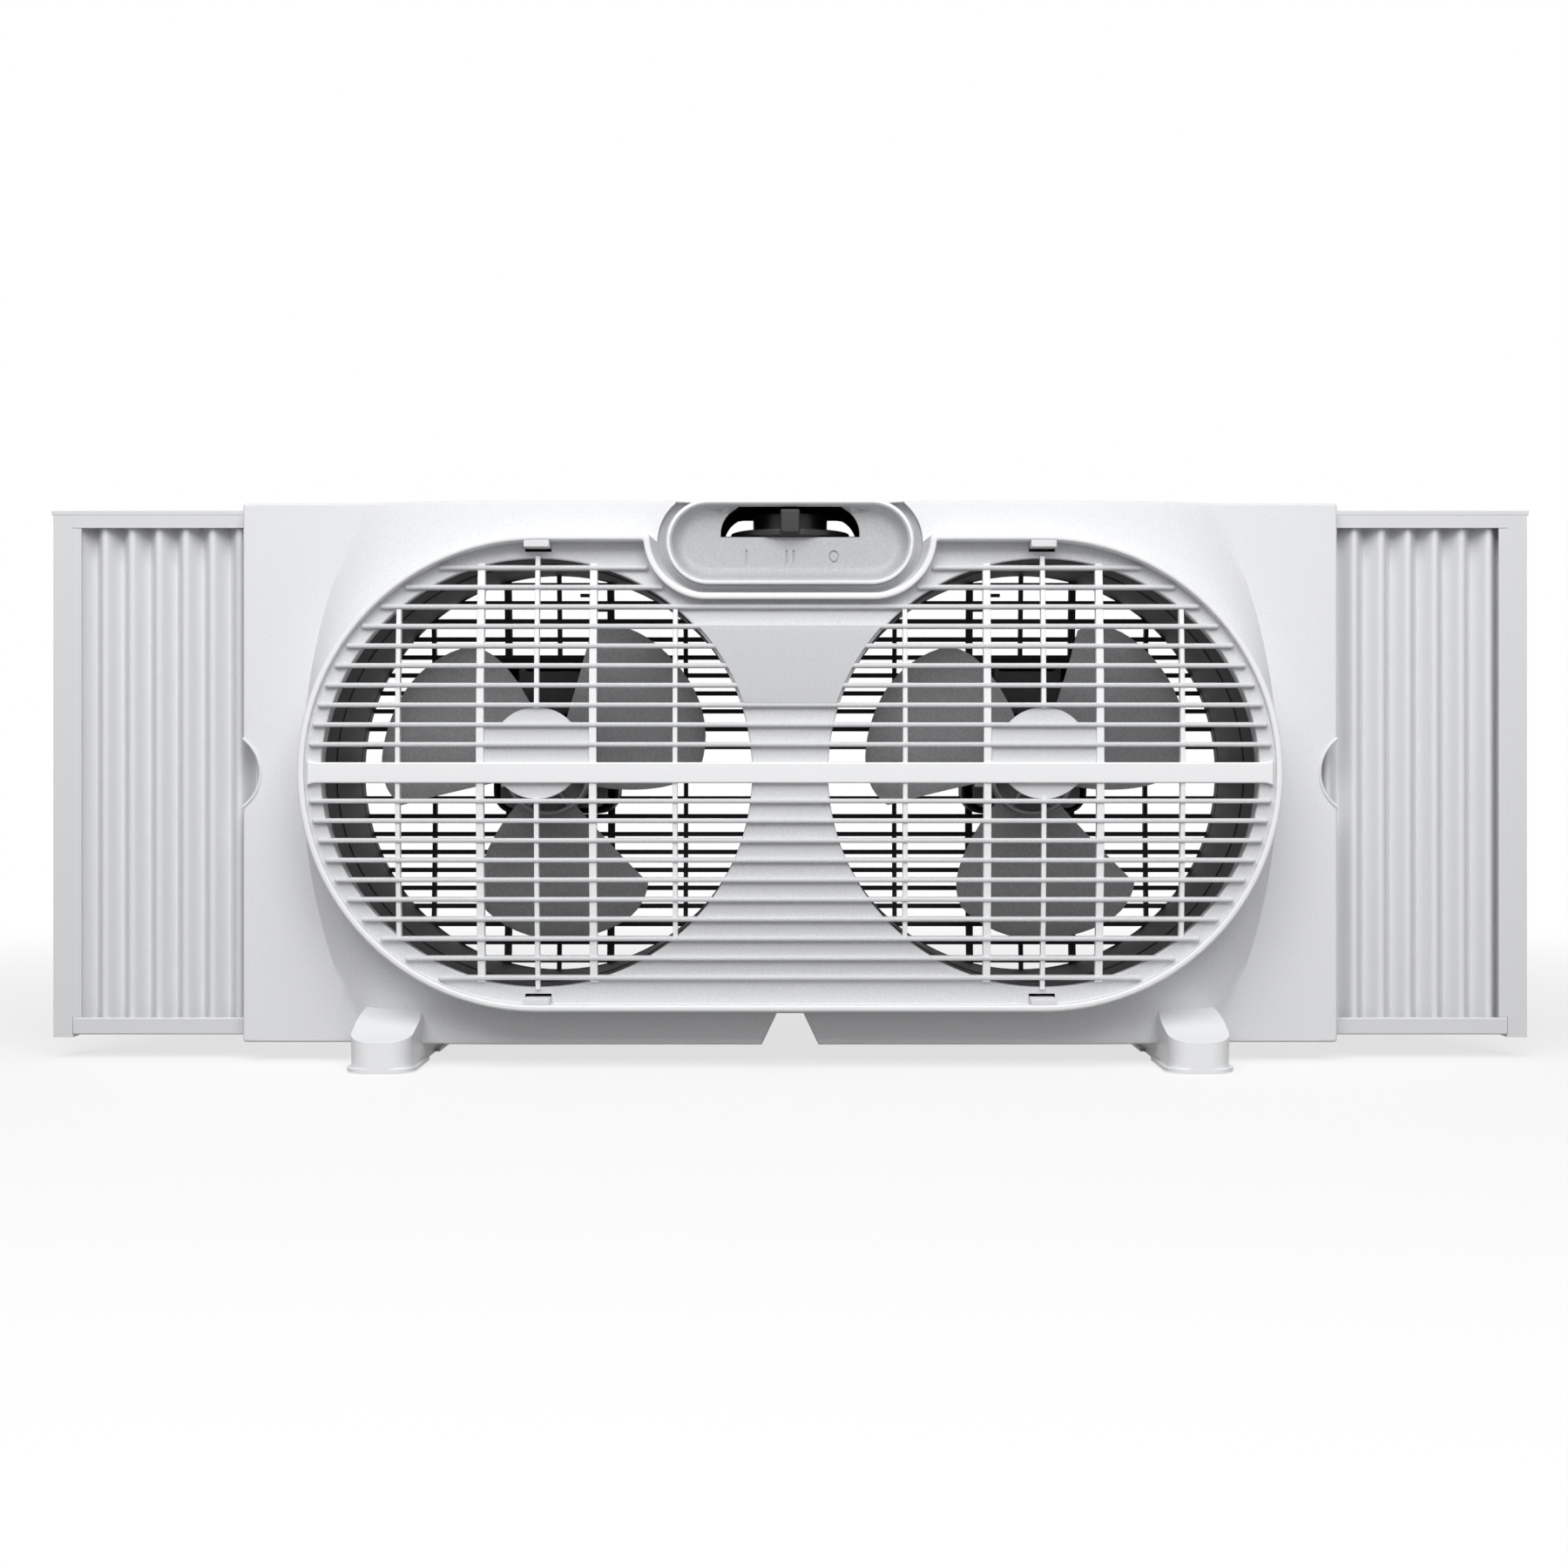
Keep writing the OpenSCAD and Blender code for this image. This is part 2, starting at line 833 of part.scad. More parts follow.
// Cut that gives the rim its drafted wall round the control bezel
module dip_draft() {
    slope = (dip_front_r - dip_back_r) / (rim_y - mound_y);
    front_r = dip_front_r + slope * eps;
    back_r = dip_back_r - slope * eps;
    for (side = [-1, 1])
        translate([side * bezel_x, -mound_y + eps, bezel_z])
            rotate([90, 0, 0])
                cylinder(r1 = back_r, r2 = front_r, h = rim_y - mound_y + 2 * eps);
    prism_x(-bezel_x, bezel_x)
        polygon([
            [-rim_y - eps, bezel_z - front_r], [-mound_y + eps, bezel_z - back_r],
            [-mound_y + eps, bezel_z + back_r], [-rim_y - eps, bezel_z + back_r],
        ]);
}

module grille_rim() {
    difference() {
        prism_y(-rim_y, -mound_y)
            dipped_stadium(0, dip_back_r);
        prism_y(-rim_y - eps, -mound_y + eps)
            dipped_stadium(rim_w, dip_front_r + rim_w);
        dip_draft();
        for (side = [-1, 1])
            for (end = [-1, 1]) {
                outer_z = grille_r - rim_w + latch_notch;
                low = min(end * outer_z, end * (outer_z - latch_t));
                block(side * fan_x - latch_w / 2 - mould_fit, side * fan_x + latch_w / 2 + mould_fit,
                      -2 * rim_y, 0, low, low + latch_t);
            }
    }
}

module grille_body() {
    grille_rim();
    grille_plate();
    bars();
    band();
    label_plate();
}

// Plates over each hub: a disc, and a short plate between the strong ribs
module hub_covers() {
    for (side = [-1, 1]) {
        rod_y(side * fan_x, disc_z, disc_r, -crown(0) + plate_drop, -crown(0) + plate_drop + cover_t);
        block(side * fan_x - mount_half_w, side * fan_x + mount_half_w,
              -crown(0) + plate_drop, -crown(0) + plate_drop + cover_t, band_h / 2, bar_z(1));
    }
}

module front_grille() {
    color(white)
        at_centre() {
            grille_body();
            ribs(true);
            hub_covers();
        }
}

module rear_grille() {
    color(charcoal)
        at_centre()
            mirror([0, 1, 0])
                difference() {
                    union() {
                        grille_body();
                        ribs(false);
                        for (side = [-1, 1]) {
                            motor_plate(side * fan_x);
                            motor_tray(side * fan_x);
                            wire_hooks(side);
                            for (way = [-1, 1])
                                rod_y(side * fan_x + way * motor_screw_x, 0, motor_post_r,
                                      -motor_post_y - motor_post_bite, -motor_back_y - strap_t);
                        }
                    }
                    for (side = [-1, 1])
                        for (way = [-1, 1])
                            rod_y(side * fan_x + way * motor_screw_x, 0, motor_screw_r + running_fit,
                                  -motor_post_y + motor_hole_end, -motor_back_y);
                }
}

module motor_plate(x) {
    intersection() {
        crowned(x - tray_half_w, x + tray_half_w, tray_low_z, plate_high_z,
                plate_drop, plate_drop + plate_t);
        prism_y(-2 * rim_y, 0)
            translate([x, 0])
                tray_outline(0, plate_high_z);
    }
}

// Outline of the tray round a motor: square at the top, with rounded lower corners
module tray_outline(inset, high) {
    half = tray_half_w - inset;
    round_r = tray_round - inset;
    low = tray_low_z + inset;
    for (way = [-1, 1])
        translate([way * (half - round_r), low + round_r])
            circle(round_r);
    translate([-half, low + round_r])
        square([2 * half, high - inset - low - round_r]);
    translate([-half + round_r, low])
        square([2 * (half - round_r), round_r + 1]);
}

module motor_tray(x) {
    intersection() {
        translate([x, 0, 0])
            prism_y(-motor_post_y - motor_post_bite, -tray_front_y)
                difference() {
                    tray_outline(0, tray_high_z);
                    tray_outline(tray_t, tray_high_z);
                }
        crowned(x - tray_half_w, x + tray_half_w, tray_low_z, tray_high_z,
                plate_drop + plate_t / 2, crown_h + crown_edge_y);
    }
}

// Two hooks beside the strong rib that is nearer to the middle
module wire_hooks(side) {
    rib_x = strong_rib_x - strong_rib_w / 2 + rib_bite;
    translate([side * fan_x, 0, 0])
        mirror([side > 0 ? 1 : 0, 0, 0]) {
            block(hook_turn_x, rib_x, -hook_y, -hook_y + hook_t, hook_mid_z, hook_mid_z + hook_w);
            block(hook_turn_x, hook_turn_x + hook_w, -hook_y, -hook_y + hook_t,
                  hook_mid_z, hook_high_z + hook_w);
            block(hook_in_x, hook_turn_x + hook_w, -hook_y, -hook_y + hook_t,
                  hook_high_z, hook_high_z + hook_w);
            block(hook_in_x, rib_x, -hook_y, -hook_y + hook_t, hook_low_z, hook_low_z + hook_w);
        }
}

// ---- Air path ----

module duct(side) {
    color(charcoal)
        at_fan(side)
            difference() {
                rod_y(0, 0, duct_r + duct_t, -duct_half, duct_half);
                rod_y(0, 0, duct_r, -duct_half - eps, duct_half + eps);
            }
}

module left_duct() {
    duct(-1);
}

module right_duct() {
    duct(1);
}

// ---- Control ----

module control_bezel() {
    difference() {
        union() {
            prism_y(-bezel_rim_y, -bezel_seat_y)
                bezel_outline(bezel_r);
            prism_y(-bezel_seat_y - 0.5, -bezel_back_y)
                bezel_outline(bezel_tail_r - mould_fit);
        }
        prism_y(-bezel_rim_y - eps, -bezel_face_y)
            bezel_outline(bezel_well_r);
        prism_y(-bezel_rim_y - eps, 0)
            slot_outline(0);
    }
}

module front_control_bezel() {
    color(white)
        at_centre()
            control_bezel();
}

module rear_control_bezel() {
    color(charcoal)
        at_centre()
            mirror([0, 1, 0])
                control_bezel();
}

module knob_tunnel() {
    color(black)
        at_centre()
            difference() {
                prism_y(-bezel_back_y, bezel_back_y)
                    slot_outline(tunnel_t);
                prism_y(-bezel_back_y - eps, bezel_back_y + eps)
                    slot_outline(0);
                translate([0, 0, slot_bottom - 2 * tunnel_floor_t])
                    cylinder(r = switch_bush_r + mould_fit, h = 3 * tunnel_floor_t);
            }
}

module rotary_switch() {
    top_z = slot_bottom - tunnel_floor_t;
    color(black)
        at_centre()
            difference() {
                union() {
                    block(-switch_half_w, switch_half_w, -switch_half_d, switch_half_d,
                          top_z - switch_h, top_z);
                    translate([0, 0, top_z - eps])
                        cylinder(r = switch_bush_r, h = tunnel_floor_t + eps - switch_bush_gap);
                    for (i = [-1 : 1])
                        block(i * terminal_pitch - terminal_t / 2, i * terminal_pitch + terminal_t / 2,
                              -terminal_w / 2, terminal_w / 2, top_z - switch_h - terminal_len,
                              top_z - switch_h);
                }
                translate([0, 0, shaft_low_z - switch_shaft_gap])
                    cylinder(r = switch_shaft_r + running_fit, h = slot_bottom - shaft_low_z + eps);
            }
}

module switch_shaft() {
    color("silver")
        at_centre()
            translate([0, 0, shaft_low_z])
                cylinder(r = switch_shaft_r, h = barrel_top_z - knob_cap_t - shaft_low_z);
}

module control_knob() {
    color(black)
        at_centre()
            difference() {
                union() {
                    translate([0, 0, knob_low_z])
                        cylinder(r = knob_r, h = flange_top_z - knob_low_z);
                    translate([0, 0, flange_top_z - eps])
                        cylinder(r = barrel_r, h = barrel_top_z - flange_top_z + eps);
                    block(-pointer_half_w, pointer_half_w, -pointer_reach, 0,
                          knob_low_z + pointer_up, barrel_top_z + pointer_top);
                }
                translate([0, 0, knob_low_z - eps])
                    cylinder(r = switch_shaft_r + push_fit,
                             h = barrel_top_z - knob_cap_t - knob_low_z + eps);
            }
}

// ---- Side screens, drawn on the right ----

module top_rail() {
    difference() {
        union() {
            block(rail_in_x, stile_in_x, -screen_half_y, screen_half_y, rail_bottom, rail_top);
            block(rail_in_x, screen_out_x + lip_over, -screen_half_y - lip_side,
                  screen_half_y + lip_side, rail_top - lip_h, rail_top);
        }
        block(rail_in_x - eps, stile_in_x + eps, -screen_half_y + channel_t,
              screen_half_y - channel_t, rail_bottom - eps, rail_top - lip_h);
    }
}

module bottom_rail() {
    difference() {
        block(rail_in_x, stile_in_x, -screen_half_y, screen_half_y, -rail_top, -rail_bottom);
        block(rail_in_x - eps, stile_in_x + eps, -screen_half_y + channel_t,
              screen_half_y - channel_t, -rail_top + lip_h, -rail_bottom + eps);
    }
}

module stile() {
    difference() {
        union() {
            block(stile_in_x, screen_out_x, -screen_half_y, screen_half_y, -rail_top, rail_top - lip_h);
            block(stile_in_x - stile_foot_in, screen_out_x + stile_foot_out, -screen_half_y, screen_half_y,
                  -rail_top - stile_foot_h, -rail_top);
        }
        // The stile is a channel, open towards the screen
        block(stile_in_x - eps, screen_out_x - channel_t, -screen_half_y + channel_t,
              screen_half_y - channel_t, -curtain_half_h - slide_fit, curtain_half_h + slide_fit);
    }
}

function pleat_x(i) =
    curtain_in_x + i * (screen_out_x - channel_t - curtain_in_x) / (pleats * pleat_steps);

function pleat_y(i) = curtain_amp * sin(360 * i / pleat_steps);

module curtain() {
    last = pleats * pleat_steps;
    translate([0, 0, -curtain_half_h])
        linear_extrude(2 * curtain_half_h)
            polygon(concat(
                [for (i = [0 : last]) [pleat_x(i), pleat_y(i) - sheet_t / 2]],
                [for (i = [last : -1 : 0]) [pleat_x(i), pleat_y(i) + sheet_t / 2]]
            ));
}

// Upright strip in the housing that holds the inner edge of a curtain
module curtain_clamp() {
    block(curtain_in_x - clamp_t, curtain_in_x, -screen_half_y + 2, edge_y - wall,
          -clamp_half_h, clamp_half_h);
}

module right_top_rail() {
    color(white)
        on_right()
            top_rail();
}

module right_bottom_rail() {
    color(white)
        on_right()
            bottom_rail();
}

module right_stile() {
    color(white)
        on_right()
            stile();
}

module right_curtain() {
    color(white)
        on_right()
            curtain();
}

module right_curtain_clamp() {
    color(white)
        on_right()
            curtain_clamp();
}

module left_top_rail() {
    color(white)
        on_left()
            top_rail();
}

module left_bottom_rail() {
    color(white)
        on_left()
            bottom_rail();
}

module left_stile() {
    color(white)
        on_left()
            stile();
}

module left_curtain() {
    color(white)
        on_left()
            curtain();
}

module left_curtain_clamp() {
    color(white)
        on_left()
            curtain_clamp();
}

// ---- Feet ----

module rounded_rect(half_x, half_y, r) {
    for (sx = [-1, 1])
        for (sy = [-1, 1])
            translate([sx * (half_x - r), sy * (half_y - r)])
                circle(r);
    square([2 * half_x, 2 * (half_y - r)], center = true);
    square([2 * (half_x - r), 2 * half_y], center = true);
}

module foot() {
    half_len = foot_len / 2;
    difference() {
        union() {
            intersection() {
                translate([foot_x, 0, pad_show])
                    linear_extrude(foot_h)
                        rounded_rect(foot_w / 2, half_len, foot_round);
                prism_x(foot_x - foot_w, foot_x + foot_w)
                    polygon([
                        [-half_len, pad_show], [half_len, pad_show],
                        [half_len, foot_nose_h], [edge_y, foot_h],
                        [-edge_y, foot_h], [-half_len, foot_nose_h],
                    ]);
                prism_y(-half_len, half_len)
                    translate([foot_x, 0])
                        rounded_rect(foot_w / 2, foot_h, foot_top_round);
            }
            // A flange round each end of the foot
            translate([foot_x, 0, pad_show])
                linear_extrude(flange_t)
                    difference() {
                        rounded_rect(foot_w / 2 + flange_over, half_len, foot_round);
                        square([2 * foot_w, 2 * flange_gap_y], center = true);
                    }
        }
        // The housing stands in the foot
        translate([0, 0, cz])
            for (way = [0, 1])
                mirror([0, way, 0])
                    intersection() {
                        union() {
                            block(foot_x - foot_w, foot_x + foot_w, -edge_y - mould_fit, eps,
                                  -half_h, half_h);
                            mound(-mould_fit);
                        }
                        block(foot_x - foot_w, foot_x + foot_w, -2 * mound_y, eps, -half_h, 0);
                    }
        for (way = [-1, 1]) {
            translate([foot_x, way * foot_screw_y, 0]) {
                cylinder(r = screw_r + mould_fit, h = foot_h);
                translate([0, 0, -eps])
                    cylinder(r = screw_head_r + mould_fit, h = eps + foot_screw_head_z);
            }
            translate([foot_x, way * pad_y, 0])
                linear_extrude(pad_t)
                    rounded_rect(pad_half_w, pad_len / 2, pad_corner_r);
        }
    }
}

module right_foot() {
    color(white)
        foot();
}

module left_foot() {
    color(white)
        mirror([1, 0, 0])
            foot();
}

module foot_pads() {
    color(black)
        for (side = [-1, 1])
            for (way = [-1, 1])
                translate([side * foot_x, way * pad_y, 0])
                    linear_extrude(pad_t)
                        rounded_rect(pad_half_w - push_fit, pad_len / 2 - push_fit, pad_corner_r);
}

module foot_screws() {
    color("silver")
        for (side = [-1, 1])
            for (way = [-1, 1])
                translate([side * foot_x, way * foot_screw_y, 0]) {
                    translate([0, 0, foot_screw_head_z - screw_head_t])
                        cylinder(r = screw_head_r, h = screw_head_t);
                    translate([0, 0, foot_screw_head_z])
                        cylinder(r = screw_r, h = foot_screw_len);
                }
}

// ---- Motors ----

module stator(side) {
    color("#9a9da1")
        at_fan(side)
            prism_y(motor_front_y, motor_back_y)
                difference() {
                    translate([0, (stack_high_z + stack_low_z) / 2])
                        rounded_rect(stack_half_w, (stack_high_z - stack_low_z) / 2, stack_round);
                    circle(bore_r);
                    translate([-window_half_w, window_low_z])
                        square([2 * window_half_w, limb_low_z - window_low_z]);
                    for (way = [-1, 1])
                        translate([way * motor_screw_x, 0])
                            circle(motor_screw_r + mould_fit);
                }
}

module left_stator() {
    stator(-1);
}

module right_stator() {
    stator(1);
}

// The winding round the upper limb of the laminations
module coil(side) {
    color("#b06a3b")
        at_fan(side)
            difference() {
                union() {
                    coil_block(-coil_half_w, coil_half_w, coil_wrap);
                    for (way = [-1, 1])
                        coil_block(way * coil_half_w - bobbin_t / 2, way * coil_half_w + bobbin_t / 2,
                                   coil_wrap + bobbin_over);
                }
                coil_block(-2 * coil_half_w, 2 * coil_half_w, mould_fit);
            }
}

// A block round the upper limb of the laminations, larger than it by grow
module coil_block(x0, x1, grow) {
    block(x0, x1, motor_front_y - grow, motor_back_y + grow, limb_low_z - grow, stack_high_z + grow);
}

module left_coil() {
    coil(-1);
}

module right_coil() {
    coil(1);
}

// A strap with two feet on the stack and a bridge that holds a bush
module bracket(face_y, bridge_y) {
    out = bridge_y > face_y ? 1 : -1;
    inner = bridge_half_w;
    outer = motor_screw_x + strap_end;
    difference() {
        translate([0, 0, -strap_half_h])
            linear_extrude(2 * strap_half_h)
                polygon([
                    [-outer, face_y], [-inner, face_y],
                    [-inner, bridge_y - out * strap_t], [inner, bridge_y - out * strap_t],
                    [inner, face_y], [outer, face_y],
                    [outer, face_y + out * strap_t], [inner + strap_t, face_y + out * strap_t],
                    [inner + strap_t, bridge_y], [-inner - strap_t, bridge_y],
                    [-inner - strap_t, face_y + out * strap_t], [-outer, face_y + out * strap_t],
                ]);
        rod_y(0, 0, bush_r + push_fit, min(face_y, bridge_y) - bush_len, max(face_y, bridge_y) + bush_len);
        for (way = [-1, 1])
            rod_y(way * motor_screw_x, 0, motor_screw_r + mould_fit,
                  min(face_y, bridge_y) - bush_len, max(face_y, bridge_y) + bush_len);
    }
}

module front_bracket(side) {
    color("silver")
        at_fan(side)
            bracket(motor_front_y, front_bridge_y);
}

module rear_bracket(side) {
    color("silver")
        at_fan(side)
            bracket(motor_back_y, rear_bridge_y);
}

module left_front_bracket() {
    front_bracket(-1);
}

module right_front_bracket() {
    front_bracket(1);
}

module left_rear_bracket() {
    rear_bracket(-1);
}

module right_rear_bracket() {
    rear_bracket(1);
}

module bush(bridge_y, out) {
    mid = bridge_y - out * strap_t / 2;
    difference() {
        union() {
            rod_y(0, 0, bush_r, mid - bush_len / 2, mid + bush_len / 2);
            rod_y(0, 0, bush_r + bush_flange,
                  min(bridge_y - out * strap_t, bridge_y - out * (strap_t + bush_flange_t)),
                  max(bridge_y - out * strap_t, bridge_y - out * (strap_t + bush_flange_t)));
        }
        rod_y(0, 0, shaft_r + running_fit, mid - bush_len, mid + bush_len);
    }
}

module bearings(side) {
    color("#b08d57")
        at_fan(side) {
            bush(front_bridge_y, -1);
            bush(rear_bridge_y, 1);
        }
}

module left_bearings() {
    bearings(-1);
}

module right_bearings() {
    bearings(1);
}

module motor_screws() {
    color("silver")
        for (side = [-1, 1])
            at_fan(side)
                for (way = [-1, 1]) {
                    rod_y(way * motor_screw_x, 0, motor_screw_head_r,
                          motor_front_y - strap_t - motor_screw_head_t, motor_front_y - strap_t);
                    rod_y(way * motor_screw_x, 0, motor_screw_r, motor_front_y - strap_t,
                          motor_back_y + strap_t + motor_screw_bite);
                }
}

module rotor(side) {
    color("#86888c")
        at_fan(side)
            difference() {
                rod_y(0, 0, rotor_r, motor_front_y - rotor_over, motor_back_y + rotor_over);
                rod_y(0, 0, shaft_r + push_fit, motor_front_y - 2 * rotor_over,
                      motor_back_y + 2 * rotor_over);
            }
}

module left_rotor() {
    rotor(-1);
}

module right_rotor() {
    rotor(1);
}

module fan_shaft(side) {
    color("silver")
        at_fan(side)
            rod_y(0, 0, shaft_r, shaft_front_y, shaft_back_y);
}

module left_shaft() {
    fan_shaft(-1);
}

module right_shaft() {
    fan_shaft(1);
}

// ---- Fans ----

// Angles of a blade's two edges at a radius. The leading edge hooks forward at the tip.
function leading(r) =
    let (t = (r - hub_r) / rake_span)
        lead_angle + lead_rake * t + lead_hook * pow(t, 8);

function trailing(r) = trail_angle + trail_rake * (r - hub_r) / rake_span;

function blade_end(v) =
    tip_r - lead_corner * pow(1 - v, 10) - trail_corner * pow(v, 8);

// Depth of a blade from front to back: it grows outwards from the hub
function blade_depth(r) =
    blade_root_depth + (blade_tip_depth - blade_root_depth) * min(1, (r - hub_r) / blade_depth_span);

// A point on a blade: u runs from the hub outwards, v from the leading edge, which is at the
// back, to the trailing edge in front
function blade_point(u, v, face) =
    let (
        r = hub_r - blade_root_in + u * (blade_end(v) - hub_r + blade_root_in),
        rim = max(r, hub_r),
        a = leading(rim) + v * (trailing(rim) - leading(rim)),
        thick = blade_t * (u < 1 ? 1 : 0.6) * (v > 0 && v < 1 ? 1 : 0.6),
        y = blade_back_y - blade_depth(rim) * v + blade_camber * sin(180 * v)
    )
        [r * cos(a), y + face * thick / 2, r * sin(a)];

module blade() {
    nr = blade_r_steps;
    na = blade_a_steps;
    row = na + 1;
    face_points = row * (nr + 1);
    front = [for (i = [0 : nr]) for (j = [0 : na]) blade_point(i / nr, j / na, -1)];
    back = [for (i = [0 : nr]) for (j = [0 : na]) blade_point(i / nr, j / na, 1)];
    front_faces = [
        for (i = [0 : nr - 1])
            for (j = [0 : na - 1])
                for (tri = [[0, 1, row], [1, row + 1, row]])
                    [for (k = tri) i * row + j + k]
    ];
    back_faces = [for (f = front_faces) [f[0] + face_points, f[2] + face_points, f[1] + face_points]];
    // The closed border of the grid, in order
    border = concat(
        [for (j = [0 : na]) j],
        [for (i = [1 : nr]) i * row + na],
        [for (j = [na - 1 : -1 : 0]) nr * row + j],
        [for (i = [nr - 1 : -1 : 1]) i * row]
    );
    count = len(border);
    edge_faces = [
        for (k = [0 : count - 1])
            let (a = border[k], b = border[(k + 1) % count])
                for (tri = [[a, a + face_points, b], [b, a + face_points, b + face_points]])
                    tri
    ];
    polyhedron(points = concat(front, back), faces = concat(front_faces, back_faces, edge_faces));
}

module fan_blade(side) {
    color("#6f6f72")
        at_fan(side) {
            difference() {
                union() {
                    // The hub is a cup that is open to the front, with a boss and ribs in it
                    difference() {
                        rod_y(0, 0, hub_r, hub_front_y, hub_back_y);
                        rod_y(0, 0, hub_r - hub_shell_t, hub_front_y - eps, hub_back_y - hub_shell_t);
                    }
                    rod_y(0, 0, hub_boss_r, hub_boss_front_y, hub_back_y - hub_shell_t / 2);
                    for (i = [0 : hub_rib_count - 1])
                        rotate([0, 360 * i / hub_rib_count, 0])
                            block(hub_boss_r - hub_shell_t, hub_r - hub_shell_t / 2, hub_rib_front_y,
                                  hub_back_y - hub_shell_t / 2, -hub_rib_t / 2, hub_rib_t / 2);
                }
                rod_y(0, 0, shaft_r + push_fit, shaft_front_y - shaft_end_gap, hub_back_y + eps);
            }
            for (i = [0 : blade_count - 1])
                rotate([0, 360 * i / blade_count, 0])
                    difference() {
                        blade();
                        rod_y(0, 0, hub_r - hub_shell_t / 2, 2 * hub_front_y - blade_tip_depth,
                              2 * hub_back_y);
                    }
        }
}

module left_blade() {
    fan_blade(-1);
}

module right_blade() {
    fan_blade(1);
}

// A spring ring that grips the hub's boss on the shaft
module hub_clip(side) {
    color("silver")
        at_fan(side)
            difference() {
                rod_y(0, 0, hub_boss_r + clip_w, clip_front_y, clip_front_y + clip_t);
                rod_y(0, 0, hub_boss_r + push_fit, clip_front_y - eps, clip_front_y + clip_t + eps);
                block(-clip_slit / 2, clip_slit / 2, clip_front_y - eps, clip_front_y + clip_t + eps,
                      0, hub_boss_r + 2 * clip_w);
            }
}

module left_hub_clip() {
    hub_clip(-1);
}

module right_hub_clip() {
    hub_clip(1);
}

front_housing();
rear_housing();
front_grille();
rear_grille();
front_control_bezel();
rear_control_bezel();
knob_tunnel();
left_duct();
right_duct();
left_foot();
right_foot();
foot_pads();
foot_screws();
housing_screws();
cord_bush();
rotary_switch();
switch_shaft();
control_knob();
left_curtain();
right_curtain();
left_curtain_clamp();
right_curtain_clamp();
left_top_rail();
left_bottom_rail();
left_stile();
right_top_rail();
right_bottom_rail();
right_stile();
left_stator();
right_stator();
left_coil();
right_coil();
left_front_bracket();
right_front_bracket();
left_rear_bracket();
right_rear_bracket();
left_bearings();
right_bearings();
motor_screws();
left_rotor();
right_rotor();
left_shaft();
right_shaft();
left_blade();
right_blade();
left_hub_clip();
right_hub_clip();
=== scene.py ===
"""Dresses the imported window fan: shells, grilles, pleated screens, fans, motors and feet."""
import json
import math

import bmesh
import bpy
from bpy.props import FloatProperty, FloatVectorProperty, IntProperty, PointerProperty
from bpy.types import Operator, Panel, PropertyGroup
from mathutils import Matrix, Vector, geometry


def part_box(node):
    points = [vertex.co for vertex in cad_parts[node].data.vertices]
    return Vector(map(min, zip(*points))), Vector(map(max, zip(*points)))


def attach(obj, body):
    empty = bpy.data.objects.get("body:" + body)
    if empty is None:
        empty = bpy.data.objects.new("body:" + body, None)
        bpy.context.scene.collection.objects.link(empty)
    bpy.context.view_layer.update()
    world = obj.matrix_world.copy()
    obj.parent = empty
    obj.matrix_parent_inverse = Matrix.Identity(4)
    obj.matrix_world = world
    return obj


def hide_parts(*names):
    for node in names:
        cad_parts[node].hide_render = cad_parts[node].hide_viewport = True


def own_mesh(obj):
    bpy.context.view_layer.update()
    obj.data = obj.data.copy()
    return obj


bl_info = {
    "name": "Window Fan",
    "version": (1, 0, 0),
    "blender": (4, 5, 0),
    "location": "View3D > Sidebar > Window Fan",
    "description": "Builds a dressed twin window fan around its packed frame",
    "category": "Add Mesh",
}

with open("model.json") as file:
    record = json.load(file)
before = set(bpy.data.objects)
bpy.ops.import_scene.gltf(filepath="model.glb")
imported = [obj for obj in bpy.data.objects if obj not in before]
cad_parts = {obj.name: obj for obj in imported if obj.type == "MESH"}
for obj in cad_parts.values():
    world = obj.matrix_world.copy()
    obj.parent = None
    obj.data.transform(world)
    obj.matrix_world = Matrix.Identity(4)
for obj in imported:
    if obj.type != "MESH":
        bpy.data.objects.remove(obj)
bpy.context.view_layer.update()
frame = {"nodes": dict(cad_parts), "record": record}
NODES = frame["nodes"]
MM = 0.001
WHITE = (1, 1, 1, 1)
SIDES = (("left", -1), ("right", 1))
MIRRORED = (-1, 1)

# ---- Places and sizes read from the frame ----

GRILLE_LO, GRILLE_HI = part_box("front_grille")
BODY_LO, BODY_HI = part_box("front_housing")
BEZEL_LO, BEZEL_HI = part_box("front_control_bezel")
KNOB_LO, KNOB_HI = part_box("control_knob")
FOOT_LO, FOOT_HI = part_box("right_foot")

CENTRE_Z = (GRILLE_LO.z + GRILLE_HI.z) / 2
GRILLE_R = (GRILLE_HI.z - GRILLE_LO.z) / 2
FAN_X = GRILLE_HI.x - GRILLE_R
HALF_W = BODY_HI.x
HALF_H = (BODY_HI.z - BODY_LO.z) / 2
BEZEL_R = (BEZEL_HI.z - BEZEL_LO.z) / 2
BEZEL_X = BEZEL_HI.x - BEZEL_R
BEZEL_Z = BEZEL_HI.z - BEZEL_R - CENTRE_Z


def mm(*values):
    """Lengths given in millimetres, in metres."""
    return tuple(value * MM for value in values)


def length(name, value, what):
    """A size that a user may change: its default is given in millimetres."""
    return FloatProperty(name=name, description=what, default=value * MM, min=0.0,
                         unit="LENGTH", subtype="DISTANCE", precision=5)


def number(name, value, what):
    return FloatProperty(name=name, description=what, default=value)


def colour(name, value, what):
    return FloatVectorProperty(name=name, description=what, default=value, size=3,
                               min=0.0, max=1.0, subtype="COLOR")


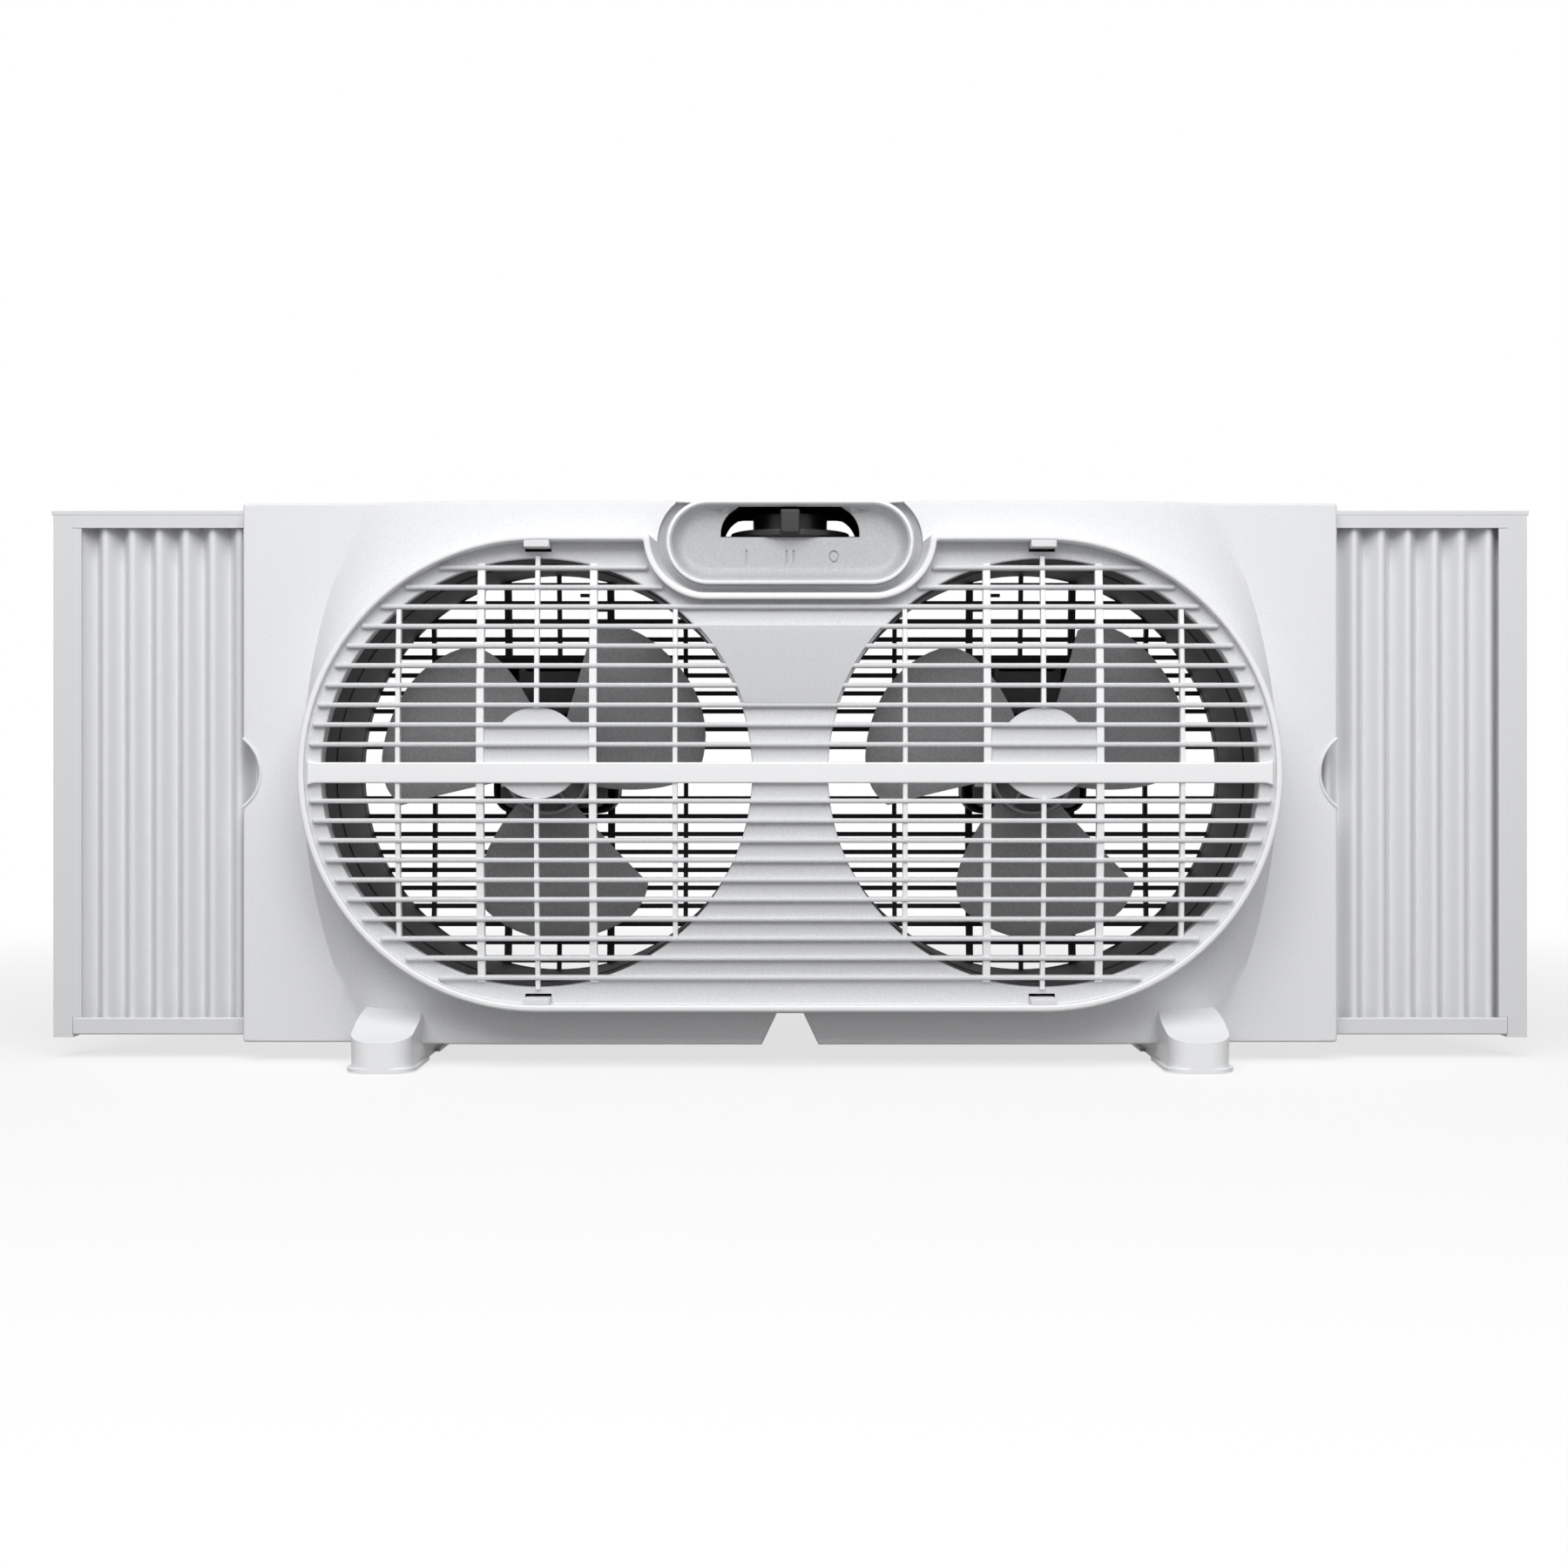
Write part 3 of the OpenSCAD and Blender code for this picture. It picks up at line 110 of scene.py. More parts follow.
class FanShellSizes(PropertyGroup):
    """Sizes of the housing shells."""
    edge_depth: length("Edge depth", 20, "Depth of one shell at its flat ends")
    mound_depth: length("Mound depth", 32, "Depth of one shell at its raised middle")
    foot_arc: length("Mound arc", 330, "Radius of the arc that bounds the raised middle")
    foot_reach: length("Mound reach", 266, "Distance of that arc from the middle")
    wall: length("Wall", 2.4, "Thickness of the moulded walls")
    edge_round: length("Edge rounding", 1.2, "Radius along the edges of a shell")
    notch_low: length("Notch width", 15.3, "Half the width of the lower notch at the edge")
    notch_high: length("Notch top", 7.2, "Half the width of the lower notch at its top")
    notch_h: length("Notch height", 17, "Height of the lower notch")
    thumb_r: length("Thumb notch radius", 23, "Radius of the thumb notch at each end")
    thumb_out: length("Thumb notch offset", 13.4, "Distance of its centre outside the end")
    slot_half_y: length("Screen slot", 8.3, "Half the depth of the slot for a side screen")


class FanGrilleSizes(PropertyGroup):
    """Sizes of the grilles."""
    face_depth: length("Rim depth", 63, "Distance of the rim's front face from the mid-plane")
    back_depth: length("Rim foot", 31.4, "Distance of the rim's back edge from the mid-plane")
    rim_w: length("Rim width", 3.6, "Width of the rim")
    crown_edge: length("Bar depth at the edge", 55,
                       "Distance of the outermost bars from the mid-plane")
    crown_h: length("Crown", 9, "Height by which the bars are crowned in the middle")
    bar_t: length("Bar thickness", 2.5, "Thickness of a bar")
    bar_depth: length("Bar depth", 6, "Depth of a bar from front to back")
    bar_pitch: length("Bar pitch", 10.4, "Distance between two bars")
    bar_rows: IntProperty(name="Bar rows", default=10,
                          description="Rows of bars above and below the band")
    band_h: length("Band height", 11, "Height of the band across the middle")
    rib_w: length("Rib width", 2.5, "Width of a light upright rib")
    strong_rib_w: length("Strong rib width", 4, "Width of a strong upright rib")
    hole_r: length("Hole radius", 113.6, "Radius of the two round holes")
    plate_drop: length("Plate drop", 3, "Distance of the plate behind the bars' front")
    plate_t: length("Plate thickness", 2, "Thickness of the plate")


class FanRotorSizes(PropertyGroup):
    """Sizes of the fans."""
    hub_r: length("Hub radius", 23.3, "Radius of the hub")
    tip_r: length("Tip radius", 93, "Radius at the blades' tips")
    thickness: length("Blade thickness", 2, "Thickness of a blade")
    lead_angle: number("Leading edge", 102.0, "Its angle at the hub, in degrees")
    lead_rake: number("Leading rake", 14.0, "Degrees that it turns further out")
    lead_hook: number("Leading hook", 1.6, "Degrees of its hook near the tip")
    trail_angle: number("Trailing edge", 190.6, "Its angle at the hub, in degrees")
    trail_rake: number("Trailing rake", 1.8, "Degrees that it turns further out")
    lead_corner: length("Leading corner", 9, "How far the corner at the leading edge is cut back")
    trail_corner: length("Trailing corner", 11,
                         "How far the corner at the trailing edge is cut back")
    root_depth: length("Root depth", 16, "Depth of a blade at the hub")
    tip_depth: length("Tip depth", 20, "Depth of a blade at its tip")
    camber: length("Camber", 1.6, "How far a blade bulges to the back")


class FanScreenSizes(PropertyGroup):
    """Sizes of the pull-out screens."""
    pleats: IntProperty(name="Pleats", default=9, min=2,
                        description="Number of pleats in a curtain")
    sheet_t: length("Sheet thickness", 0.9, "Thickness of the pleated vinyl")
    crispness: number("Crispness", 0.8, "How sharp the pleats are, below 1")
    edge_round: length("Edge rounding", 0.7, "Radius along the edges of rails and stiles")


class FanFinish(PropertyGroup):
    """Colours of the fan's materials."""
    white: colour("Smooth white plastic", (0.86, 0.865, 0.875),
                  "Bars and rim of the grille, bezel and feet")
    grained: colour("Grained white plastic", (0.76, 0.765, 0.78), "Front shell")
    # Painted shade: the bars' white plastic made darker for the shade behind the bars; covers too
    plate: colour("Grained plate", (0.65, 0.655, 0.67), "Plate of the front grille")
    # Painted shade: the middle plate's white plastic is given a grey colour that stands in for
    # shade
    middle: colour("Middle plate", (0.55, 0.555, 0.57), "Plate between the fans")
    # The floor is darker than the rim; this colour also paints shade on the bezel's outer wall.
    well: colour("Bezel well", (0.45, 0.455, 0.465), "Grained floor of the control bezel")
    screen: colour("Screen plastic", (0.69, 0.695, 0.71), "Rails and stiles of the screens")
    charcoal: colour("Charcoal plastic", (0.016, 0.016, 0.0175),
                     "Ducts, rear shell and rear grille")
    black: colour("Black plastic", (0.012, 0.012, 0.013), "Knob, tunnel and switch")
    blade: colour("Blade grey", (0.36, 0.36, 0.37), "The fans")
    vinyl: colour("Vinyl", (0.75, 0.755, 0.765), "Pleated curtains")
    steel: colour("Zinc-plated steel", (0.60, 0.60, 0.60), "Screws, brackets and shafts")
    lamination: colour("Lamination steel", (0.09, 0.09, 0.095), "Stacks of the motors")
    winding: colour("Winding", (0.05, 0.05, 0.053), "Wire wrapped in black tape")
    bronze: colour("Sintered bronze", (0.42, 0.27, 0.12), "Bushes of the motors")
    rubber: colour("Rubber", (0.02, 0.02, 0.02), "Pads and the cord bush")


class FanStage(PropertyGroup):
    """Light, floor and camera."""
    key_power: number("Key", 51.5, "Power of the overhead light in watts")
    fill_power: number("Fill", 10.0, "Power of the front light in watts")
    side_power: number("Side", 0.4, "Power of the light on the right in watts")
    ambient: number("Ambient", 0.03, "Strength of the world's light")
    distance: length("Camera distance", 1208, "Distance of the camera in front of the mid-plane")
    lens: number("Lens", 50.0, "Focal length in millimetres")


def settings():
    """The scene, which holds the groups of sizes and colours."""
    return bpy.context.scene


# ---- Outlines in the plane of the front: x across, z up from the fans' centre line ----

MITRE_LIMIT = 0.4


def arc(cx, cz, radius, start, end, steps):
    """Points on an arc, angles in degrees, both ends included."""
    return [(cx + radius * math.cos(math.radians(start + (end - start) * i / steps)),
             cz + radius * math.sin(math.radians(start + (end - start) * i / steps)))
            for i in range(steps + 1)]


def between(a, b, count):
    """Points on a straight line from a to b, without either end."""
    return [(a[0] + (b[0] - a[0]) * i / count, a[1] + (b[1] - a[1]) * i / count)
            for i in range(1, count)]


def mirrored(points):
    """The same points on the other side, in the opposite order."""
    return [(-x, z) for x, z in reversed(points)]


def stadium(radius, half_span, cz=0.0, steps=24, flat=8):
    """A closed outline with round ends, counterclockwise."""
    right = arc(half_span, cz, radius, -90, 90, steps)
    left = mirrored(right)
    return right + between(right[-1], left[0], flat) + left + between(left[-1], right[0], flat)


def dipped(inset, dip_r, fillet=1.8 * MM):
    """Outline of a grille: round ends, with a dip round the control bezel at the top."""
    r = GRILLE_R - inset
    cx = BEZEL_X + math.sqrt((dip_r + fillet) ** 2 - (r - fillet - BEZEL_Z) ** 2)
    turn = math.degrees(math.atan2(BEZEL_Z - (r - fillet), BEZEL_X - cx)) % 360
    meet = math.degrees(math.atan2(r - fillet - BEZEL_Z, cx - BEZEL_X))
    right = (between((FAN_X, r), (cx, r), 6)
             + arc(cx, r - fillet, fillet, 90, turn, 4)
             + arc(BEZEL_X, BEZEL_Z, dip_r, meet, -90, 22)[1:])
    left = mirrored(right)
    return (arc(FAN_X, 0, r, -90, 90, 48) + right + between(right[-1], left[0], 8) + left
            + arc(-FAN_X, 0, r, 90, 270, 48) + between((-FAN_X, -r), (FAN_X, -r), 20))


def from_bezel(x, z):
    """Distance from the line between the centres of the control bezel's round ends."""
    return math.hypot(max(0.0, abs(x) - BEZEL_X), z - BEZEL_Z)


def offset(points, distance):
    """A closed counterclockwise outline moved inwards by a distance, with mitred corners."""
    moved = []
    for i, (x, z) in enumerate(points):
        here = Vector((x, z))
        a = (here - Vector(points[i - 1])).normalized().orthogonal()
        b = (Vector(points[(i + 1) % len(points)]) - here).normalized().orthogonal()
        shift = (a + b) * (distance / max(MITRE_LIMIT, 1 + a.dot(b)))
        moved.append((x + shift.x, z + shift.y))
    return moved


def rounding(radius, steps=3):
    """(inset, drop) pairs of a rounded edge, from the side wall to the face."""
    return [(radius * (1 - math.cos(math.pi / 2 * i / steps)),
             radius * (1 - math.sin(math.pi / 2 * i / steps))) for i in range(steps + 1)]


# ---- Forms ----

SAME_POINT, SAME_VERTEX = 1e-6, 2e-6
FLAT_ANGLE = math.radians(0.4)
BEVEL_ANGLE = math.radians(40)
# A lathe's profile stops here instead of on its axis.
AXIS_R = 0.001 * MM


class Form:
    """Points and faces of one piece while it is being made, as x, depth and z."""

    def __init__(self):
        self.points = []
        self.faces = []
        self.turns = []

    def paint(self, finish):
        """Faces made from here on take this finish of the piece: 0 is its first one."""
        self.turns.append((len(self.faces), finish))

    def add(self, points):
        first = len(self.points)
        self.points.extend(points)
        return list(range(first, len(self.points)))

    def ring(self, outline, depth):
        """An outline at a depth, which is a number or a function of x and z."""
        get = depth if callable(depth) else (lambda x, z: depth)
        return self.add([(x, get(x, z), z) for x, z in outline])

    def bridge(self, a, b, closed=True):
        """Joins two rings or rows of points with four-sided faces."""
        count = len(a)
        for i in range(count if closed else count - 1):
            j = (i + 1) % count
            self.faces.append((a[i], a[j], b[j], b[i]))

    def skin(self, rings, closed=True, looped=False):
        for a, b in zip(rings, rings[1:]):
            self.bridge(a, b, closed)
        if looped:
            self.bridge(rings[-1], rings[0], closed)

    def fill(self, rings, depth, inner=(), chains=()):
        """Fills the space between closed rings of points with triangles, which keep to the
        inner points and to the open chains of points."""
        known = [k for ring in rings for k in ring]
        coords = [(self.points[k][0], self.points[k][2]) for k in known]
        edges = []
        for ring in rings:
            start = len(edges)
            edges += [(start + i, start + (i + 1) % len(ring)) for i in range(len(ring))]
        for chain in chains:
            edges += [(len(coords) + i, len(coords) + i + 1) for i in range(len(chain) - 1)]
            coords += chain
        coords += inner
        out, _, faces, sources, _, _ = geometry.delaunay_2d_cdt(
            [Vector(p) for p in coords], edges, [], 1, SAME_POINT)
        index = []
        for point, source in zip(out, sources):
            old = [s for s in source if s < len(known)]
            if old:
                index.append(known[old[0]])
            else:
                index.append(self.add([(point.x, depth(point.x, point.y), point.y)])[0])
        self.faces.extend(tuple(index[k] for k in face) for face in faces
                          if not self.in_hole(rings[1:], out, face))

    def in_hole(self, holes, out, face):
        """True if the middle of a face lies inside one of the holes."""
        x = sum(out[k].x for k in face) / len(face)
        z = sum(out[k].y for k in face) / len(face)
        for ring in holes:
            inside = False
            for k, last in zip(ring, ring[-1:] + ring[:-1]):
                (x0, _, z0), (x1, _, z1) = self.points[last], self.points[k]
                if (z1 > z) != (z0 > z) and x < (x0 - x1) * (z - z1) / (z0 - z1) + x1:
                    inside = not inside
            if inside:
                return True
        return False

    def block(self, low, high, radius, segments=2):
        """A box with rounded edges."""
        work = bmesh.new()
        bmesh.ops.create_cube(work, size=1.0)
        for v in work.verts:
            v.co = Vector([(low[k] + high[k]) / 2 + v.co[k] * (high[k] - low[k]) for k in range(3)])
        bmesh.ops.bevel(work, geom=work.edges[:], offset=radius, segments=segments,
                        affect="EDGES", profile=0.5)
        work.verts.index_update()
        first = len(self.points)
        self.points.extend(tuple(v.co) for v in work.verts)
        self.faces.extend(tuple(first + v.index for v in f.verts) for f in work.faces)
        work.free()

    def plate(self, outline, back, front, radius):
        """A flat plate with rounded front edges."""
        rings = [self.ring(outline, back)]
        rings += [self.ring(offset(outline, i), front - d) for i, d in rounding(radius)]
        self.skin(rings)
        self.fill([rings[-1]], lambda x, z: front)
        self.fill([rings[0]], lambda x, z: back)

    def lathe(self, profile, centre, steps, axis="y", closed=False):
        """Turns a profile of (radius, distance along the axis) about an axis through centre."""
        rings = []
        for radius, along in profile:
            round_it = arc(0, 0, radius, 0, 360, steps)[:-1]
            ring = [(u, along, v) if axis == "y" else (u, v, along) for u, v in round_it]
            rings.append(self.add([tuple(map(sum, zip(p, centre))) for p in ring]))
        self.skin(rings, looped=closed)
        if not closed:
            self.cap(rings)

    def tube(self, path, radius, steps=8):
        """A round bar with closed ends along a path of points."""
        rings = []
        turn = arc(0, 0, radius, 0, 360, steps)[:-1]
        path = [Vector(point) for point in path]
        for i, here in enumerate(path):
            along = (path[min(i + 1, len(path) - 1)] - path[max(i - 1, 0)]).normalized()
            side = along.orthogonal() if not rings else (side - along * side.dot(along))
            side.normalize()
            up = along.cross(side)
            rings.append(self.add([tuple(here + u * side + v * up) for u, v in turn]))
        self.skin(rings)
        self.cap(rings)

    def cap(self, rings):
        """Closes the first and the last of some rings."""
        self.faces += [tuple(rings[0]), tuple(rings[-1])]

    def mesh(self, name, place):
        """The mesh of the form, put in place."""
        data = bpy.data.meshes.new(name)
        data.from_pydata([tuple(p) for p in self.points], [], self.faces)
        finishes = [0] * len(self.faces)
        for start, finish in self.turns:
            finishes[start:] = [finish] * (len(self.faces) - start)
        data.polygons.foreach_set("material_index", finishes)
        return tidied(data, place)


FRONT = Matrix(((1, 0, 0, 0), (0, -1, 0, 0), (0, 0, 1, CENTRE_Z), (0, 0, 0, 1)))
REAR = Matrix(((1, 0, 0, 0), (0, 1, 0, 0), (0, 0, 1, CENTRE_Z), (0, 0, 0, 1)))
HERE = Matrix.Identity(4)


def tidied(data, place=HERE):
    """The mesh put in place, with doubles merged and all faces pointing outwards."""
    work = bmesh.new()
    work.from_mesh(data)
    bmesh.ops.remove_doubles(work, verts=work.verts[:], dist=SAME_VERTEX)
    bmesh.ops.dissolve_degenerate(work, edges=work.edges[:], dist=SAME_POINT)
    bmesh.ops.delete(work, geom=[v for v in work.verts if not v.link_faces], context="VERTS")
    work.transform(place)
    bmesh.ops.recalc_face_normals(work, faces=work.faces[:])
    work.to_mesh(data)
    work.free()
    return data


def joined(*meshes):
    """One mesh from several."""
    work = bmesh.new()
    for data in meshes:
        work.from_mesh(data)
    whole = bpy.data.meshes.new(meshes[0].name)
    work.to_mesh(whole)
    work.free()
    return whole


def node_copy(*nodes):
    """Clean copies of CAD nodes' meshes: doubles merged and flat faces joined."""
    work = bmesh.new()
    for node in nodes:
        work.from_mesh(NODES[node].data)
    bmesh.ops.remove_doubles(work, verts=work.verts[:], dist=SAME_VERTEX)
    bmesh.ops.dissolve_limit(work, angle_limit=FLAT_ANGLE, verts=work.verts[:],
                             edges=work.edges[:])
    data = bpy.data.meshes.new(nodes[0])
    work.to_mesh(data)
    work.free()
    return data


def piece(name, data, body, finishes, stands_for=(), bevel=0.0, angle=32.0):
    """Makes an object of a mesh, gives it its finishes and lets it ride on a body."""
    data.polygons.foreach_set("use_smooth", [True] * len(data.polygons))
    data.set_sharp_from_angle(angle=math.radians(angle))
    painted = [face.material_index for face in data.polygons]
    data.materials.clear()
    for finish in finishes:
        data.materials.append(FINISHES[finish])
    data.polygons.foreach_set("material_index", painted)
    obj = bpy.data.objects.new(name, data)
    bpy.context.scene.collection.objects.link(obj)
    if bevel:
        edge = obj.modifiers.new("Edges", "BEVEL")
        edge.width = bevel
        edge.segments = 2
        edge.limit_method = "ANGLE"
        edge.angle_limit = BEVEL_ANGLE
        edge.harden_normals = True
    even = obj.modifiers.new("Even shading", "WEIGHTED_NORMAL")
    even.keep_sharp = True
    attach(obj, body)
    if stands_for:
        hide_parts(*stands_for)
    return obj


# ---- Node trees ----

PLEAT_COLUMNS, PLEAT_ROWS = 24.0, 13


class Nodes:
    """Adds nodes to a tree."""

    def __init__(self, tree):
        self.tree = tree

    def fit(self, node, inputs):
        """Links the inputs that are given a socket, and sets the others."""
        for key, value in inputs.items():
            if isinstance(value, bpy.types.NodeSocket):
                self.tree.links.new(value, node.inputs[key])
            else:
                node.inputs[key].default_value = value
        return node

    def node(self, kind, inputs=None, **attributes):
        """Adds a node, with its attributes and inputs set."""
        node = self.tree.nodes.new(kind)
        for key, value in attributes.items():
            setattr(node, key, value)
        return self.fit(node, inputs or {})

    def out(self, kind, inputs=None, **attributes):
        """Adds a node, and gives its first output."""
        return self.node(kind, inputs, **attributes).outputs[0]

    def math(self, operation, a, b=0.0):
        return self.out("ShaderNodeMath", {0: a, 1: b}, operation=operation)

    def sockets(self, way, **kinds):
        """Adds sockets to a group's outside."""
        for title, kind in kinds.items():
            self.tree.interface.new_socket(title, in_out=way, socket_type="NodeSocket" + kind)


class GeometryNodes(Nodes):
    """A geometry node tree that takes a geometry, named values and a material."""

    def __init__(self, name, **kinds):
        super().__init__(bpy.data.node_groups.new(name, "GeometryNodeTree"))
        self.sockets("INPUT", Geometry="Geometry", **kinds, Material="Material")
        self.sockets("OUTPUT", Geometry="Geometry")
        self.given = self.node("NodeGroupInput").outputs

    def end(self, grown_socket):
        """Makes the result real and painted, and gives the finished tree."""
        real = self.out("GeometryNodeRealizeInstances", {"Geometry": grown_socket})
        painted = self.out("GeometryNodeSetMaterial", {"Geometry": real,
                                                       "Material": self.given["Material"]})
        self.node("NodeGroupOutput", {0: painted})
        return self.tree


def grown(tree, base, values):
    """The mesh that a node tree makes of a base mesh, with its named inputs set."""
    obj = bpy.data.objects.new("maker", base)
    bpy.context.scene.collection.objects.link(obj)
    maker = obj.modifiers.new("Maker", "NODES")
    maker.node_group = tree
    for item in tree.interface.items_tree:
        if item.item_type == "SOCKET" and item.in_out == "INPUT" and item.name in values:
            maker[item.identifier] = values[item.name]
    bpy.context.view_layer.update()
    done = obj.evaluated_get(bpy.context.evaluated_depsgraph_get())
    data = bpy.data.meshes.new_from_object(done)
    bpy.data.objects.remove(obj)
    if not data.polygons:
        raise RuntimeError("the node tree " + tree.name + " made nothing")
    return data


def bars_tree():
    """Stretches a short slat to each bar's length: the points carry half_length."""
    t = GeometryNodes("Grille Bars", Slat="Object")
    points = t.out("GeometryNodeMeshToPoints", {"Mesh": t.given["Geometry"]})
    template = t.node("GeometryNodeObjectInfo", {"Object": t.given["Slat"]}).outputs["Geometry"]
    across = t.out("ShaderNodeSeparateXYZ", {0: t.out("GeometryNodeInputPosition")})
    marked = t.out("GeometryNodeStoreNamedAttribute",
                   {"Geometry": template, "Name": "way", "Value": t.math("SIGN", across)},
                   data_type="FLOAT", domain="POINT")
    copies = t.out("GeometryNodeInstanceOnPoints", {"Points": points, "Instance": marked})
    real = t.out("GeometryNodeRealizeInstances", {"Geometry": copies})
    way, half = [t.out("GeometryNodeInputNamedAttribute", {"Name": name}, data_type="FLOAT")
                 for name in ("way", "half_length")]
    move = t.out("ShaderNodeCombineXYZ", {0: t.math("MULTIPLY", way, half)})
    return t.end(t.out("GeometryNodeSetPosition", {"Geometry": real, "Offset": move}))


def ribs_tree():
    """Sweeps a rounded rectangle along upright lines."""
    t = GeometryNodes("Grille Ribs", Width="Float", Depth="Float", Rounding="Float")
    line = t.out("GeometryNodeMeshToCurve", {"Mesh": t.given["Geometry"]})
    level = t.out("GeometryNodeSetCurveNormal", {"Curve": line, "Normal": (1, 0, 0)}, mode="FREE")
    section = t.out("GeometryNodeCurvePrimitiveQuadrilateral",
                    {"Width": t.given["Width"], "Height": t.given["Depth"]})
    soft = t.out("GeometryNodeFilletCurve",
                 {"Curve": section, "Radius": t.given["Rounding"], "Count": 2}, mode="POLY")
    return t.end(t.out("GeometryNodeCurveToMesh",
                       {"Curve": level, "Profile Curve": soft, "Fill Caps": True}))


def pleats_tree():
    """A sheet folded into soft pleats, with a thickness."""
    t = GeometryNodes("Pleated Sheet", Width="Float", Height="Float", Pleats="Int", Fold="Float",
                      Crispness="Float", Thickness="Float")
    given = t.given
    columns = t.math("ADD", t.math("MULTIPLY", given["Pleats"], PLEAT_COLUMNS), 1.0)
    grid = t.out("GeometryNodeMeshGrid", {"Size X": given["Width"], "Size Y": given["Height"],
                                          "Vertices X": columns, "Vertices Y": PLEAT_ROWS})
    across, along, _ = t.node("ShaderNodeSeparateXYZ",
                              {0: t.out("GeometryNodeInputPosition")}).outputs
    part = t.math("ADD", t.math("DIVIDE", across, given["Width"]), 0.5)
    turns = t.math("MULTIPLY", t.math("MULTIPLY", part, given["Pleats"]), 2 * math.pi)
    wave = t.math("MULTIPLY", t.math("SINE", turns), given["Crispness"])
    fold = t.math("DIVIDE", t.math("ARCSINE", wave), t.math("ARCSINE", given["Crispness"]))
    folded = t.out("ShaderNodeCombineXYZ",
                   {0: across, 1: t.math("MULTIPLY", fold, given["Fold"]), 2: along})
    sheet = t.out("GeometryNodeSetPosition", {"Geometry": grid, "Position": folded})
    both = t.node("GeometryNodeJoinGeometry")
    for face in (t.out("GeometryNodeExtrudeMesh", {"Mesh": sheet, "Individual": False,
                                                   "Offset Scale": given["Thickness"]}),
                 t.out("GeometryNodeFlipFaces", {"Mesh": sheet})):
        t.tree.links.new(face, both.inputs[0])
    return t.end(t.out("GeometryNodeMergeByDistance",
                       {"Geometry": both.outputs[0], "Distance": SAME_POINT}))


# ---- Materials ----

FINISHES = {}
GRAIN_HEIGHT, STRIPE_HEIGHT = mm(0.06, 0.2)
# Grains per metre: fine on smooth plastic, and coarse where the mould was textured
FINE, COARSE = 1500.0, 900.0


def fine_grain():
    """Shared by the plastics: a moulded grain that shows in the colour and the surface."""
    t = Nodes(bpy.data.node_groups.new("Fine Grain", "ShaderNodeTree"))
    t.sockets("INPUT", Colour="Color", Speckle="Float", Relief="Float", Size="Float")
    t.sockets("OUTPUT", Colour="Color", Normal="Vector")
    given = t.node("NodeGroupInput").outputs
    place = t.node("ShaderNodeTexCoord").outputs["Object"]
    noise = t.node("ShaderNodeTexNoise", {"Vector": place, "Scale": given["Size"],
                                          "Detail": 2.0}).outputs["Fac"]
    change = t.math("MULTIPLY", t.math("SUBTRACT", noise, 0.5), given["Speckle"])
    tinted = t.out("ShaderNodeVectorMath",
                   {0: given["Colour"], "Scale": t.math("ADD", change, 1.0)}, operation="SCALE")
    bump = t.out("ShaderNodeBump", {"Distance": GRAIN_HEIGHT, "Height": noise,
                                    "Strength": given["Relief"]})
    t.node("NodeGroupOutput", {"Colour": tinted, "Normal": bump})
    return t.tree


def plastic(slot, tint, grain, roughness, speckle, relief=0.1, size=FINE, metallic=0.0,
            specular=0.5):
    """A grained finish of one colour."""
    material = FINISHES[slot] = bpy.data.materials.new(slot)
    material.use_nodes = True
    t = Nodes(material.node_tree)
    look = t.node("ShaderNodeGroup", node_tree=grain)
    t.fit(look, {"Colour": (*tint, 1), "Speckle": speckle, "Relief": relief, "Size": size})
    t.fit(t.tree.nodes["Principled BSDF"],
          {"Base Color": look.outputs["Colour"], "Normal": look.outputs["Normal"],
           "Roughness": roughness, "Metallic": metallic, "Specular IOR Level": specular})
    return t


def striped(slot, tint, grain, scale, axis, metallic, roughness):
    """A finish with fine stripes across one axis, such as stacked sheets or turns of wire."""
    t = plastic(slot, tint, grain, roughness, 0.15, metallic=metallic)
    place = t.node("ShaderNodeTexCoord").outputs["Object"]
    wave = t.node("ShaderNodeTexWave", {"Scale": scale, "Vector": place}, bands_direction=axis)
    bump = t.out("ShaderNodeBump", {"Strength": 0.6, "Distance": STRIPE_HEIGHT,
                                    "Height": wave.outputs["Fac"]})
    t.fit(t.tree.nodes["Principled BSDF"], {"Normal": bump})


# ---- Sizes shared by the pieces ----

# From a bar's end to the rim, and from the band to the first bar
BAR_END_GAP, FIRST_BAR_GAP = mm(1.9, 9.4)
# Radius of the dip round the bezel at the foot of the rim and at its face
DIP_BACK, DIP_FRONT = BEZEL_R + 4.65 * MM, BEZEL_R + 7 * MM
BEZEL_SEAT = 22 * MM
STRONG_RIB_X, OUTER_RIB_X = mm(29.7, 73)
LATCH_HALF_W, LATCH_LOW, LATCH_HIGH = mm(6.75, 118.9, 123.4)


def crown(z):
    """Depth of the bars' front at a height."""
    g = settings().fan_grille
    reach = GRILLE_R - g.rim_w - BAR_END_GAP
    return g.crown_edge + g.crown_h * (1 - (z / reach) ** 2)


def bar_z(row):
    """Height of a row of bars above the fans' centre line."""
    g = settings().fan_grille
    return g.band_h / 2 + FIRST_BAR_GAP + row * g.bar_pitch


def chord(radius, z):
    """Half the width of a circle at a height."""
    return math.sqrt(max(0.0, radius * radius - z * z))


def dip_at(depth):
    """Radius of the dip's wall at a depth: it is drafted."""
    g = settings().fan_grille
    part = (depth - g.back_depth) / (g.face_depth - g.back_depth)
    return DIP_BACK + (DIP_FRONT - DIP_BACK) * part


# ---- Housing shells ----

# The raised middle is flat up to SEAT_R, and its slope would end MOUND_TOP above the middle.
SEAT_R, MOUND_TOP, MOUND_POWER = GRILLE_R + 1.6 * MM, HALF_H + 77 * MM, 1.5
RAY_ANGLE, RAY_COUNT, RAY_ROWS, RAY_START = 2, 42, 8, 0.02
# Where the slot for a side screen begins and ends
SLOT_X, SLOT_TOP = mm(286, 144.6)
